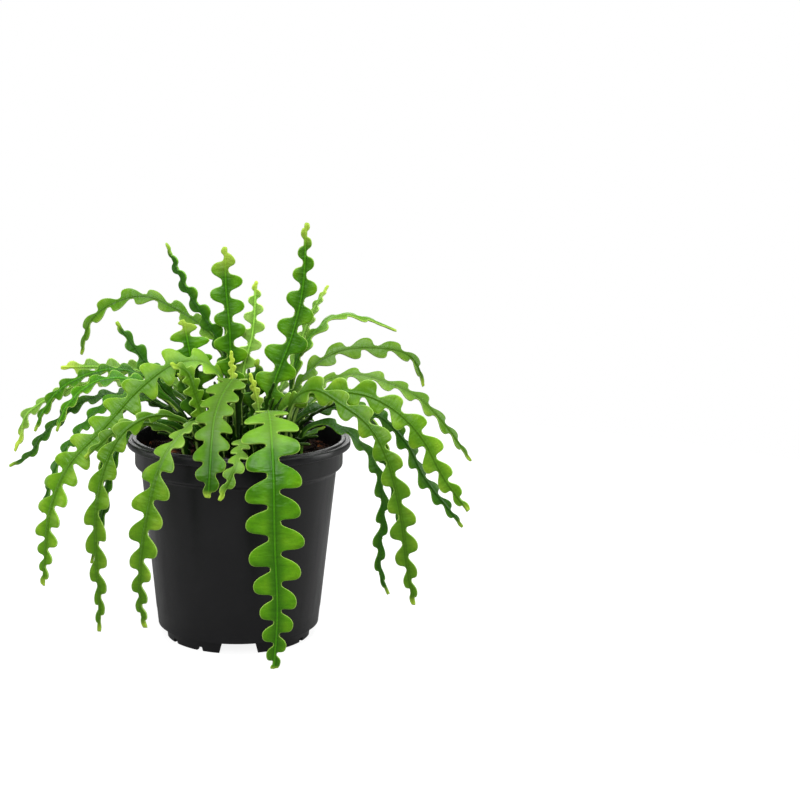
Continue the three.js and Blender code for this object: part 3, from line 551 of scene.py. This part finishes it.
def pine_bark():
    """Broken pine bark: matt, layered along its length, from dark red brown to a pale broken tan."""
    material, tree, spots = new_material("pine_bark")
    # each chip takes its own colour from patches of 8 mm, under fibres 0.6 mm wide
    patches = noise(tree, spots, 8, 1)
    fibres = noise(tree, stretched(tree, spots, (1, 3, 3)), 1.66667, 4, 0.7)
    colour = ramp(tree, average(tree, 0.35, patches, fibres),
                  [(0.4, "#120a06"), (0.54, "#2c170d"), (0.63, "#66381c"), (0.72, "#b0743c")])
    return finished(material, Base_Color=colour, Roughness=0.85, Normal=bump(tree, fibres, 0.7, 0.6),
                    Specular_IOR_Level=0.2)


def areole_wool():
    """The short matted wool of the areoles: greenish tan and quite matt, in tufts of 0.4 mm."""
    material, tree, spots = new_material("areole_wool")
    colour = ramp(tree, noise(tree, spots, 0.4), [(0.35, "#5d7a26"), (0.65, "#98a84a")])
    return finished(material, Base_Color=colour, Roughness=0.95)


def glow(tree, looks):
    """How strongly a lit backdrop shines: as bright as it looks to the camera, and less on the plant."""
    seen = add_node(tree, "ShaderNodeLightPath", {}).outputs["Is Camera Ray"]
    return span(tree, seen, (0, 1), (CAST_GLOW, looks))


def white_paper():
    """The seamless white paper of a studio: matt, lit from below so that it takes hardly a shadow."""
    material, tree, spots = new_material("studio_paper")
    colour = ramp(tree, noise(tree, spots, 1.1111), [(0.3, "#7e7e7e"), (0.7, "#828282")])
    return finished(material, Base_Color=colour, Roughness=1, Specular_IOR_Level=0,
                    Emission_Color=linear("#ffffff"), Emission_Strength=glow(tree, PAPER_LOOKS))


def only(piece):
    """Makes piece the one selected and active object."""
    bpy.ops.object.select_all(action="DESELECT")
    piece.select_set(True)
    bpy.context.view_layer.objects.active = piece


def newest(name):
    """The object that an operator has just added, under its own name."""
    piece = bpy.context.active_object
    piece.name = name
    piece.data.name = name
    only(piece)
    return piece


def open_all():
    """Opens the active piece for editing, with all of it selected."""
    bpy.ops.object.mode_set(mode="EDIT")
    bpy.ops.mesh.select_all(action="SELECT")


def close():
    bpy.ops.object.mode_set(mode="OBJECT")


def pick(piece, wanted):
    """Selects the vertices that pass a test, and nothing else, and opens the piece for editing."""
    mesh = piece.data
    for parts in (mesh.polygons, mesh.edges):
        parts.foreach_set("select", [False] * len(parts))
    mesh.vertices.foreach_set("select", [wanted(v.co / MM) for v in mesh.vertices])
    bpy.ops.object.mode_set(mode="EDIT")


def settle(piece):
    """Puts the place, turn and scale of a piece into its mesh."""
    only(piece)
    bpy.ops.object.transform_apply(location=True, rotation=True, scale=True)


def apply_modifier(piece, kind, **settings):
    only(piece)
    modifier = piece.modifiers.new(kind.title(), kind)
    for name, value in settings.items():
        setattr(modifier, name, value)
    bpy.ops.object.modifier_apply(modifier=modifier.name)


def copied(shape, matrix):
    """A copy of a shape with its own mesh, moved there by a matrix."""
    copy = shape.copy()
    copy.data = shape.data.copy()
    bpy.context.scene.collection.objects.link(copy)
    copy.data.transform(matrix)
    return copy


def joined(name, pieces):
    only(pieces[0])
    for piece in pieces:
        piece.select_set(True)
    bpy.ops.object.join()
    return newest(name)


def finish_piece(piece, material, slot, *nodes):
    """Gives a piece its material, lets it ride with the plant and hides any parts of the model that it
    stands in for.
    """
    piece.data.materials.clear()
    piece.data.materials.append(material)
    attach(piece, "root")
    if nodes:
        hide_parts(*nodes)


def curve_through(points, places):
    """The centripetal Catmull-Rom curve through points, at places counted in points from the first.
    Gives where it is there and which way it goes."""
    points = np.asarray(points, float)
    ends = (2 * points[0] - points[1], 2 * points[-1] - points[-2])
    held = np.vstack([ends[0], points, ends[1]])
    start = np.clip(np.floor(places).astype(int), 0, len(points) - 2)
    t = (places - start)[:, None]
    a, b, c, d = (held[start + i] for i in range(4))
    ab, bc, cd = (np.maximum(np.linalg.norm(q - p, axis=1) ** 0.5, 1e-6)[:, None]
                  for p, q in ((a, b), (b, c), (c, d)))
    leave = ((b - a) / ab - (c - a) / (ab + bc) + (c - b) / bc) * bc
    arrive = ((c - b) / bc - (d - b) / (bc + cd) + (d - c) / cd) * bc
    square = -3 * b + 3 * c - 2 * leave - arrive
    cube = 2 * b - 2 * c + leave + arrive
    where = b + leave * t + square * t ** 2 + cube * t ** 3
    goes = leave + 2 * square * t + 3 * cube * t ** 2
    return where, goes


def smoothstep(x, low, high):
    share = np.clip((x - low) / (high - low), 0, 1)
    return share * share * (3 - 2 * share)


def mix(a, b, share):
    return a + (b - a) * share


def unit(vectors):
    return vectors / np.linalg.norm(vectors, axis=-1, keepdims=True)


def with_turns(route):
    """A route with a turn at each point: one without its own keeps the turn before it."""
    turn = 0
    points = []
    for x, y, z, *given in route:
        turn = given[0] if given else turn
        points.append((x, y, z, turn))
    return points


class StemLine:
    """The line of a stem from the bottom of its hole to its tip, and how its blade lies along it."""

    def __init__(self, stem):
        route = with_turns(stem.route)
        stub = (ROOT_BOTTOM, ROOT_BOTTOM + ROOT_DEPTH / 2, SOIL_MIDDLE + 1)
        points = np.array([(*stem.root, z, route[0][3]) for z in stub] + route, float)
        places = np.linspace(0, len(points) - 1, LINE_SAMPLES)
        where, goes = curve_through(points[:, :3], places)
        steps = np.linalg.norm(np.diff(where, axis=0), axis=1)
        self.distance = np.concatenate([[0], np.cumsum(steps)])
        self.length = self.distance[-1]
        forward = unit(goes)
        face = math.radians(stem.face)
        across = np.array((-math.sin(face), math.cos(face), 0))
        width = unit(across - forward * (forward @ across)[:, None])
        turns = np.radians(np.interp(places, np.arange(len(points)), points[:, 3]))[:, None]
        width = width * np.cos(turns) + np.cross(forward, width) * np.sin(turns)
        normal = np.cross(forward, width)
        self.table = np.hstack([where, width, normal])
        self.lies_flat = np.abs(normal[:, 2])

    def at(self, distance, out, up):
        """The points at these distances, moved out along the blade and up from its face."""
        found = [np.interp(distance, self.distance, column) for column in self.table.T]
        place, width, normal = (np.stack(found[i:i + 3], axis=-1) for i in (0, 3, 6))
        return place + unit(width) * out[..., None] + unit(normal) * up[..., None]


def swollen(stem, distance):
    """How far the blade has swollen out of the stalk at a distance from the root, from 0 to 1."""
    return smoothstep(distance, stem.bare - stem.pitch, stem.bare + SWELLS_OVER * stem.pitch)


def lobe_size(stem, length, distance):
    """The share of its full size that a lobe has, by how many lobes it is from the first and the tip."""
    left = np.clip((length - distance) / (stem.fade * stem.pitch), 0, 1)
    size = mix(SHRUNK, 1, np.sin(left * math.pi / 2))
    if stem.rise:
        size = size * mix(FIRST_LOBE, 1, smoothstep((distance - stem.bare) / stem.pitch, 0, stem.rise))
    return size


def lobe_starts(stem, length, late):
    """The notch before each lobe of one side. A late side has its own that share of a lobe further."""
    starts = [stem.bare]
    while starts[-1] < length + stem.pitch:
        starts.append(starts[-1] + stem.pitch * mix(CROWDED, 1, lobe_size(stem, length, starts[-1])))
    starts = np.array(starts)
    return mix(starts[:-1], starts[1:], late)


class Side:
    """One side of a blade: the outline of its lobes, and how far each lobe bends out of its face."""

    def __init__(self, stem, length, late):
        self.starts = lobe_starts(stem, length, late)
        form = LOBES[stem.lobes]
        stalk = np.linspace(0, self.starts[0], STALK["points"], endpoint=False)
        points = [(s, STALK["half"]) for s in stalk]
        leaves_rib = list(stalk)
        for start, end in zip(self.starts, self.starts[1:]):
            grown = 1 + rng.normal(0, VARIES["size"])
            slip = rng.normal(0, VARIES["place"])
            for k, (far, wide) in enumerate(form):
                distance = start + (far + slip * wide) * (end - start)
                blade = stem.half * wide * grown * lobe_size(stem, length, distance)
                width = mix(STALK["half"], blade, swollen(stem, distance))
                leans = stem.lean * (end - start) * wide ** 2 * swollen(stem, distance)
                points.append((distance + leans, max(width, TIP_HALF)))
                leaves_rib.append(start + k / len(form) * (end - start))
        self.points = np.array(points)
        self.leaves_rib = np.array(leaves_rib)
        self.bends = rng.normal(0, 1, len(self.starts))

    def edge(self, distance):
        """Where a cross section that leaves the rib at a distance meets the edge: how far along and out."""
        places = np.interp(distance, self.leaves_rib, np.arange(len(self.leaves_rib)))
        found, _ = curve_through(self.points, places)
        return found[:, 0], found[:, 1]

    def bend(self, distance):
        middles = (self.starts[1:] + self.starts[:-1]) / 2
        return np.interp(distance, middles, self.bends[1:])


def blade_stations(stem, starts, length):
    """Distances of the cross sections: close in the lobes, and closest where the tip rounds off."""
    steps = max(STALK["points"], round(stem.bare / STALK["step"]))
    stalk = np.linspace(0, starts[0], steps)[:-1]
    count = max(LEAST_STATIONS, round(stem.pitch * STATIONS_A_MM))
    lobes = np.concatenate([np.linspace(a, b, count, endpoint=False)
                            for a, b in zip(starts, starts[1:])])
    rounding = length - TIP_ROUNDING * np.array(TIP_STATIONS)
    lobes = lobes[lobes < rounding[0] - TIP_CLEARANCE]
    return np.concatenate([stalk, lobes, rounding])


def quarter_round(share):
    """The height of a quarter circle, from 0 where share is 0 to 1 where it is 1."""
    return np.sqrt(1 - (1 - np.clip(share, 0, 1)) ** 2)


def half_thickness(stem, grown, out, width):
    """Half the thickness of the blade at a distance out from the rib, out of the half width there."""
    share = np.clip(out / np.maximum(width, 1e-6), 0, 1)
    stalk = STALK["thick"] * np.sqrt(1 - share ** 2)
    relief = np.clip(stem.half / FULL_HALF, FINEST["relief"], 1)
    flesh = mix(CORE, EDGE, share) * mix(FINEST["flesh"], 1, relief)
    rib = RIB["height"] * relief * np.exp(-(out / RIB["width"]) ** 2)
    groove = GROOVE["depth"] * relief * np.exp(-((out - GROOVE["at"]) / GROOVE["width"]) ** 2)
    margin = MARGIN["height"] * np.exp(-((width - out - MARGIN["in"]) / MARGIN["width"]) ** 2)
    rounding = quarter_round((width - out) / EDGE_ROUNDING)
    return mix(stalk, (flesh + rib - groove + margin) * rounding, grown)


def points_across(width):
    """How far out the points of each cross section lie, from the rib to the edge."""
    rib = np.minimum(OVER_RIB["most"], OVER_RIB["share"] * width)
    rim = np.minimum(ROUND_RIM["most"], ROUND_RIM["share"] * (width - rib))
    flat = width - rib - rim
    points = [share * rib for share in OVER_RIB["points"]]
    points += [rib + flat * third / 3 for third in (1, 2)]
    points += [width - share * rim for share in ROUND_RIM["points"]]
    return np.stack(points, axis=1)


def half_blade(stem, length, shape, stations):
    """One side of a blade, with a row for each cross section: how far along and out its points lie, how
    thick it is there, how far it bends out of its face, and how far it still is to the edge."""
    closing = quarter_round((length - stations) / TIP_ROUNDING)
    far, width = shape.edge(stations)
    width = width * closing
    far = np.minimum(mix(stations, far, closing), length)
    out = points_across(width)
    share = out / np.maximum(width, 1e-6)[:, None]
    along = stations[:, None] + (far - stations)[:, None] * share ** SWEEP
    grown = swollen(stem, along)
    thick = half_thickness(stem, grown, out, width[:, None]) * closing[:, None]
    size = np.clip(out / stem.half, 0, CURLS_UP_TO) ** 2 * stem.half * grown
    bent = (-stem.cup + VARIES["bend"] * shape.bend(stations)[:, None]) * size
    return along, out, thick, bent, width[:, None] - out


def store(piece, name, values):
    """Keeps a number or a vector for each point of a piece, which its material reads."""
    kind, held = ("FLOAT", "value") if values.ndim == 2 else ("FLOAT_VECTOR", "vector")
    made = piece.data.attributes.new(name, kind, "POINT")
    made.data.foreach_set(held, values.astype(np.float32).ravel())


def stem_blade(stem):
    """A grid, one row for each cross section, is shaped to the blade and rolled shut round it. Gives it
    with the places of its notches."""
    line = StemLine(stem)
    length = line.length
    sides = {1: Side(stem, length, 0), -1: Side(stem, length, 0.5)}
    stations = blade_stations(stem, sides[1].starts, length)
    halves = {side: half_blade(stem, length, shape, stations) for side, shape in sides.items()}

    # the columns of the grid, from one edge over the upper face to the other and back underneath
    last = LAST_POINT
    upper = [(1, j, 1) for j in range(last, 0, -1)] + [(-1, j, 1) for j in range(last + 1)]
    lower = [(-1, j, -1) for j in range(last - 1, 0, -1)] + [(1, j, -1) for j in range(last + 1)]
    columns = []
    for side, j, face in upper + lower:
        along, out, thick, bent, rim = (facts[:, j] for facts in halves[side])
        lift = face * thick if j < last else 0
        columns.append((along, side * out, bent + lift, rim))
    along, outs, ups, rims = np.stack(columns, axis=-1)
    rows, count = along.shape

    bpy.ops.mesh.primitive_grid_add(x_subdivisions=count - 1, y_subdivisions=rows - 1, size=1)
    piece = newest(stem.name + "_blade")
    places = line.at(along, outs, ups) * MM
    piece.data.vertices.foreach_set("co", places.astype(np.float32).ravel())
    flow = (along, outs * FOLD_STRETCH, np.full(along.shape, stem.root[0]))
    store(piece, "place", np.stack([swollen(stem, along), np.abs(outs), rims], axis=-1))
    store(piece, "flow", np.stack(flow, axis=-1) * MM)
    # how flat the blade lies, which its material turns into a painted sheen
    store(piece, "flat_sheen", np.interp(along, line.distance, line.lies_flat))
    store(piece, "growth", np.clip(1 - (length - along) / stem.lime, 0, 1))
    store(piece, "tone", np.full(along.shape, rng.normal(stem.tone, VARIES["tone"])))

    open_all()
    bpy.ops.mesh.remove_doubles(threshold=SAME_POINT * MM)
    bpy.ops.mesh.select_all(action="DESELECT")
    bpy.ops.mesh.select_non_manifold()
    bpy.ops.mesh.edge_face_add()
    bpy.ops.mesh.select_all(action="SELECT")
    bpy.ops.mesh.normals_make_consistent(inside=False)
    close()
    bpy.ops.object.shade_smooth()

    notches = []
    for side, shape in sides.items():
        starts = shape.starts[1:]
        starts = starts[starts < length - BARE_OF_WOOL * stem.pitch]
        far, width = shape.edge(starts)
        notches += list(line.at(far, side * width, np.zeros(len(starts))) * MM)
    return piece, notches


def crown_shoots():
    """The shoots at the foot of the plant, each a small stem that leans outwards, joined in one piece."""
    shoots = []
    for group in SHOOTS:
        for i in range(group["count"]):
            around = FULL_TURN * (i + rng.random() * SHOOT_SLIP) / group["count"]
            outwards = np.array((math.cos(around), math.sin(around)))
            root = outwards * rng.uniform(*group["root"])
            length = rng.uniform(*group["length"])
            lean = rng.uniform(*group["lean"])
            if root[1] + outwards[1] * lean * length < SHOOTS_IN_FRONT["beyond"]:
                length = min(length, SHOOTS_IN_FRONT["length"])
            route = []
            for share in SHOOT_ROUTE["steps"]:
                x, y = root + outwards * lean * length * share ** SHOOT_ROUTE["arch"]
                rise = length * share * (1 - SHOOT_ROUTE["sag"] * lean * share)
                route.append((x, y, SOIL_MIDDLE + SHOOT_ROUTE["base"] + rise))
            drawn = {name: rng.uniform(*limits) for name, limits in SHOOT_RANGES.items()}
            name = f"shoot_{len(shoots) + 1}"
            shoot = Stem(name, root=tuple(root), route=route, **SHOOT_FORM, **drawn)
            shoots.append(stem_blade(shoot)[0])
    return joined("crown_shoots", shoots)


def turned(name, profile, sides, rounded=()):
    """A profile of (radius, height) corners, some rounded with a radius, spun round the Z axis.
    The profile starts and ends on the axis."""
    bpy.ops.mesh.primitive_circle_add(vertices=len(profile), fill_type="NOTHING")
    piece = newest(name)
    for vertex, (radius, height) in zip(piece.data.vertices, profile):
        vertex.co = Vector((radius, 0, height)) * MM
    pick(piece, lambda at: at.x == 0)
    bpy.ops.mesh.delete(type="EDGE_FACE")
    close()
    for radius, corners in rounded:
        pick(piece, lambda at: any(math.dist((at.x, at.z), c) < 5 * SAME_POINT for c in corners))
        bpy.ops.mesh.bevel(offset=radius * MM, segments=CORNER_SEGMENTS, affect="VERTICES")
        close()
    open_all()
    bpy.ops.mesh.spin(steps=sides, angle=FULL_TURN, center=(0, 0, 0), axis=(0, 0, 1))
    bpy.ops.mesh.select_all(action="SELECT")
    bpy.ops.mesh.remove_doubles(threshold=SAME_POINT * MM)
    bpy.ops.mesh.normals_make_consistent(inside=False)
    close()
    return piece


def cut_away(piece, cutter):
    apply_modifier(piece, "BOOLEAN", operation="DIFFERENCE", object=cutter, solver="EXACT")
    bpy.data.objects.remove(cutter)


def notch_cutter(notch, turn):
    """A block with a narrower top, which opens the foot ring at one place round the pot."""
    bpy.ops.mesh.primitive_cube_add(size=1)
    cutter = newest("notch_cutter")
    middle = FOOT_RADIUS - FOOT_WIDTH / 2
    reach = 4 * FOOT_WIDTH
    below = 1
    for vertex in cutter.data.vertices:
        x, y, z = vertex.co
        width = notch["head"] if z > 0 else notch["foot"]
        height = notch["height"] if z > 0 else -below
        vertex.co = Vector((x * width, y * reach - middle, height)) * MM
    cutter.data.transform(Matrix.Rotation(math.radians(turn), 4, "Z"))
    return cutter


def drain_cutter(x, y):
    bpy.ops.mesh.primitive_cylinder_add(
        vertices=DRAIN_SIDES, radius=DRAIN_RADIUS * MM, depth=4 * FLOOR * MM,
        location=(x * MM, y * MM, (FOOT_HEIGHT + FLOOR / 2) * MM),
    )
    cutter = newest("drain_cutter")
    settle(cutter)
    return cutter


def nursery_pot():
    """The pot, turned in one piece from the underside of its floor out, up over the lip and back inside.
    The foot ring is then notched and the floor drilled."""
    lip_bottom = POT_HEIGHT - LIP_HEIGHT
    floor_top = FOOT_HEIGHT + FLOOR
    inner = WALL_FOOT_RADIUS - WALL
    ring_inner = FOOT_RADIUS - FOOT_WIDTH
    mould = mix(WALL_FOOT_RADIUS, WALL_TOP_RADIUS, MOULD_LINE["rise"] / STEP_BOTTOM)
    mould_top = FOOT_HEIGHT + MOULD_LINE["rise"]
    heel = FOOT_HEIGHT - HEEL["down"]
    corners = {
        "foot": [(ring_inner, 0), (FOOT_RADIUS, 0), (FOOT_RADIUS + HEEL["out"], heel),
                 (WALL_FOOT_RADIUS - HEEL["in"], heel + HEEL["rise"])],
        "band": [(WALL_TOP_RADIUS, STEP_BOTTOM), (BAND_RADIUS, BAND_BOTTOM)],
        "under_lip": [(BAND_RADIUS, lip_bottom)],
        "bead": [(LIP_RADIUS, lip_bottom), (LIP_RADIUS - LIP_BEAD[0], POT_HEIGHT - LIP_BEAD[1])],
        "groove": [(LIP_RADIUS - across, POT_HEIGHT - down) for across, down in LIP_GROOVE],
        "rim": [(LIP_RADIUS - LIP_WIDTH, POT_HEIGHT)],
    }
    profile = [
        (0, FOOT_HEIGHT), (ring_inner, FOOT_HEIGHT), *corners["foot"],
        (WALL_FOOT_RADIUS, FOOT_HEIGHT + WALL_FOOT_RISE), (mould, mould_top - MOULD_LINE["height"]),
        (mould + MOULD_LINE["out"], mould_top), *corners["band"], *corners["under_lip"],
        *corners["bead"], *corners["groove"], *corners["rim"], (BAND_RADIUS - WALL, BAND_BOTTOM),
        (WALL_TOP_RADIUS - WALL, STEP_BOTTOM), (inner, floor_top + CORNER), (inner - CORNER, floor_top),
        (0, floor_top),
    ]
    pot = turned("nursery_pot", profile, POT_SIDES, [(ROUNDED[part], corners[part]) for part in corners])
    for i in range(NOTCH_TURNS):
        turn = 360 / NOTCH_TURNS * i
        cut_away(pot, notch_cutter(WIDE_NOTCH, turn))
        for offset in (SMALL_NOTCH_OFFSET, -SMALL_NOTCH_OFFSET):
            cut_away(pot, notch_cutter(SMALL_NOTCH, turn + offset))
        along = math.radians(turn + 180 / NOTCH_TURNS)
        cut_away(pot, drain_cutter(DRAIN_CIRCLE * math.cos(along), DRAIN_CIRCLE * math.sin(along)))
    cut_away(pot, drain_cutter(0, 0))
    only(pot)
    bpy.ops.object.shade_smooth_by_angle(angle=SMOOTH_BELOW)
    return pot


def soil_filling():
    """The filling of the pot: a turned body whose top is raised into clods and crumbs."""
    inner_foot = WALL_FOOT_RADIUS - WALL - SOIL_GAP
    inner_edge = BAND_RADIUS - WALL - SOIL_GAP
    floor = FOOT_HEIGHT + FLOOR + SOIL_FLOOR_GAP
    body = [
        (0, floor), (inner_foot - CORNER, floor), (inner_foot, floor + CORNER),
        (WALL_TOP_RADIUS - WALL - SOIL_GAP, STEP_BOTTOM), (inner_edge, BAND_BOTTOM),
    ]
    rings = np.linspace(1, 0, SOIL_RINGS)
    top = [(inner_edge * r, mix(SOIL_MIDDLE, SOIL_EDGE, r ** 2)) for r in rings]
    soil = turned("potting_soil", body + top, SOIL_SIDES)
    group = soil.vertex_groups.new(name="top")
    for vertex in soil.data.vertices:
        radius = math.hypot(vertex.co.x, vertex.co.y) / MM
        if vertex.co.z / MM > mix(BAND_BOTTOM, SOIL_EDGE, 0.5):
            group.add([vertex.index], min(1, (inner_edge - radius) / SOIL_CALM_EDGE), "REPLACE")
    for size, height in SOIL_LUMPS:
        texture = bpy.data.textures.new("clods", "CLOUDS")
        texture.noise_scale = size * MM
        texture.noise_depth = SOIL_LUMP_DETAIL
        apply_modifier(soil, "DISPLACE", texture=texture, strength=height * MM, mid_level=0.5,
                       direction="Z", vertex_group="top", texture_coords="LOCAL")
    only(soil)
    bpy.ops.object.shade_smooth()
    return soil


def scattered(name, soil, shapes, count, reach, lift):
    """Copies of a few shapes, strewn over the soil at random turns and joined into one piece."""
    spots = []
    for _ in range(count):
        radius = reach * math.sqrt(rng.random())
        around = rng.random() * FULL_TURN
        start = Vector((radius * math.cos(around), radius * math.sin(around), 2 * POT_HEIGHT)) * MM
        hit, place, normal, _ = soil.ray_cast(start, -UP)
        if hit:
            spots.append((place, normal))
    copies = []
    for place, normal in spots:
        shape = shapes[rng.integers(len(shapes))]
        lie = normal.to_track_quat("Z", "Y").to_matrix().to_4x4()
        tilt = Matrix.Rotation(rng.normal(0, LITTER_TILTS), 4, "X")
        spin = Matrix.Rotation(rng.random() * FULL_TURN, 4, "Z")
        size = Matrix.Scale(math.exp(rng.normal(0, LITTER_VARIES)), 4)
        matrix = Matrix.Translation(place + UP * lift * MM) @ lie @ spin @ tilt @ size
        copies.append(copied(shape, matrix))
    for shape in shapes:
        bpy.data.objects.remove(shape)
    return joined(name, copies)


def knock_about(size, seed, by, outwards):
    """Moves the points of the open piece about, by a share of its size."""
    bpy.ops.transform.vertex_random(offset=by * size * MM, seed=seed, normal=outwards)
    close()


def bark_chip(length, width, thickness, seed):
    """A flake of bark: a block cut once each way and broken out of square."""
    bpy.ops.mesh.primitive_cube_add(size=1)
    chip = newest("bark_chip")
    chip.scale = Vector((length, width, thickness)) * MM
    settle(chip)
    open_all()
    bpy.ops.mesh.subdivide(number_cuts=1)
    knock_about(thickness, seed, **BARK_KNOCKS)
    return chip


def soil_crumb(size, seed):
    """A crumb of peat: a ball of few faces, knocked out of round."""
    bpy.ops.mesh.primitive_ico_sphere_add(subdivisions=1, radius=size / 2 * MM)
    crumb = newest("soil_crumb")
    open_all()
    knock_about(size, seed, **CRUMB_KNOCKS)
    return crumb


def areoles(notches):
    """A tiny tuft of wool in each of these notches, joined in one piece."""
    bpy.ops.mesh.primitive_ico_sphere_add(subdivisions=1, radius=TUFT_RADIUS * MM)
    tuft = newest("areole_tuft")
    copies = [copied(tuft, Matrix.Translation(Vector(place))) for place in notches]
    bpy.data.objects.remove(tuft)
    piece = joined("areoles", copies)
    bpy.ops.object.shade_smooth()
    return piece


def soft_light(name, place, width, height, power):
    lamp = bpy.data.lights.new(name, "AREA")
    lamp.shape = "RECTANGLE"
    lamp.size = width * MM
    lamp.size_y = height * MM
    lamp.energy = power
    light = bpy.data.objects.new(name, lamp)
    bpy.context.scene.collection.objects.link(light)
    light.location = Vector(place) * MM
    light.rotation_euler = (Vector(LIT_MIDDLE) - Vector(place)).to_track_quat("-Z", "Y").to_euler()


def studio():
    """White paper on the floor, soft lights all round and a pale room."""
    bpy.ops.mesh.primitive_circle_add(vertices=PAPER_SIDES, radius=PAPER_RADIUS * MM, fill_type="NGON")
    floor = newest("studio_floor")
    floor.data.materials.append(white_paper())
    for name, light in LIGHTS.items():
        soft_light(name, *light)
    world = bpy.data.worlds.new("pale_room")
    bpy.context.scene.world = world
    world.use_nodes = True
    tree = world.node_tree
    plug(tree, tree.nodes["Background"], {"Color": linear("#ffffff"), "Strength": glow(tree, ROOM_LOOKS)})
    bpy.context.scene.view_settings.view_transform = "Standard"


def camera():
    turn, dip, roll = CAMERA_TURN, CAMERA_DIP, CAMERA_ROLL
    ahead = Vector((math.sin(turn) * math.cos(dip), math.cos(turn) * math.cos(dip), -math.sin(dip)))
    right = Vector((math.cos(turn), -math.sin(turn), 0))
    up = right.cross(ahead)
    rolled_right = right * math.cos(roll) + up * math.sin(roll)
    rolled_up = up * math.cos(roll) - right * math.sin(roll)
    data = bpy.data.cameras.new("camera")
    data.lens = CAMERA_LENS
    data.sensor_width = CAMERA_SENSOR
    data.clip_start = 0.05
    data.clip_end = 50
    made = bpy.data.objects.new("camera", data)
    bpy.context.scene.collection.objects.link(made)
    axes = Matrix((rolled_right, rolled_up, -ahead)).transposed().to_4x4()
    made.matrix_world = Matrix.Translation(Vector(CAMERA_PLACE) * MM) @ axes
    bpy.context.scene.camera = made


bpy.ops.object.select_all(action="DESELECT")

# bright, mid and dark are copies of one green skin, lit and shaded: partly the stems' own greens and partly
# painted light and shade
SKINS = {
    "bright": cactus_skin("bright", flesh="#6ea018", deep="#4e840e", light="#94bc30", tip="#9cba34",
                          margin="#9cc05c", rib="#606060"),
    "mid": cactus_skin("mid", flesh="#60a606", deep="#387802", light="#80bc10", tip="#a0bc40",
                       margin="#a8cc58", rib="#bcbcbc"),
    "dark": cactus_skin("dark", flesh="#427c0a", deep="#285f04", light="#689c12", tip="#94b634",
                        margin="#6c9e34", rib="#707070"),
    "young": cactus_skin("young", flesh="#8ab448", deep="#6c9c34", light="#a8cc68", tip="#b2c83c",
                         margin="#bcd884", rib="#bcbcbc"),
}

all_notches = []
for stem in STEMS:
    blade, notches = stem_blade(stem)
    all_notches += notches
    finish_piece(blade, SKINS[stem.skin], "stem_" + stem.skin, stem.name)

finish_piece(crown_shoots(), SKINS["dark"], "stem_dark")
finish_piece(areoles(all_notches), areole_wool(), "stem_young")
finish_piece(nursery_pot(), black_polypropylene(), "pot", "pot")

soil = soil_filling()
finish_piece(soil, potting_peat("potting_peat"), "soil", "soil")
chips = [bark_chip(*sizes, seed) for seed, sizes in enumerate(BARK_SIZES)]
finish_piece(scattered("bark_chips", soil, chips, **BARK), pine_bark(), "soil")
crumbs = [soil_crumb(size, seed) for seed, size in enumerate(CRUMB_SIZES)]
finish_piece(scattered("soil_crumbs", soil, crumbs, **CRUMBS), potting_peat("peat_crumbs"), "soil")

studio()
camera()
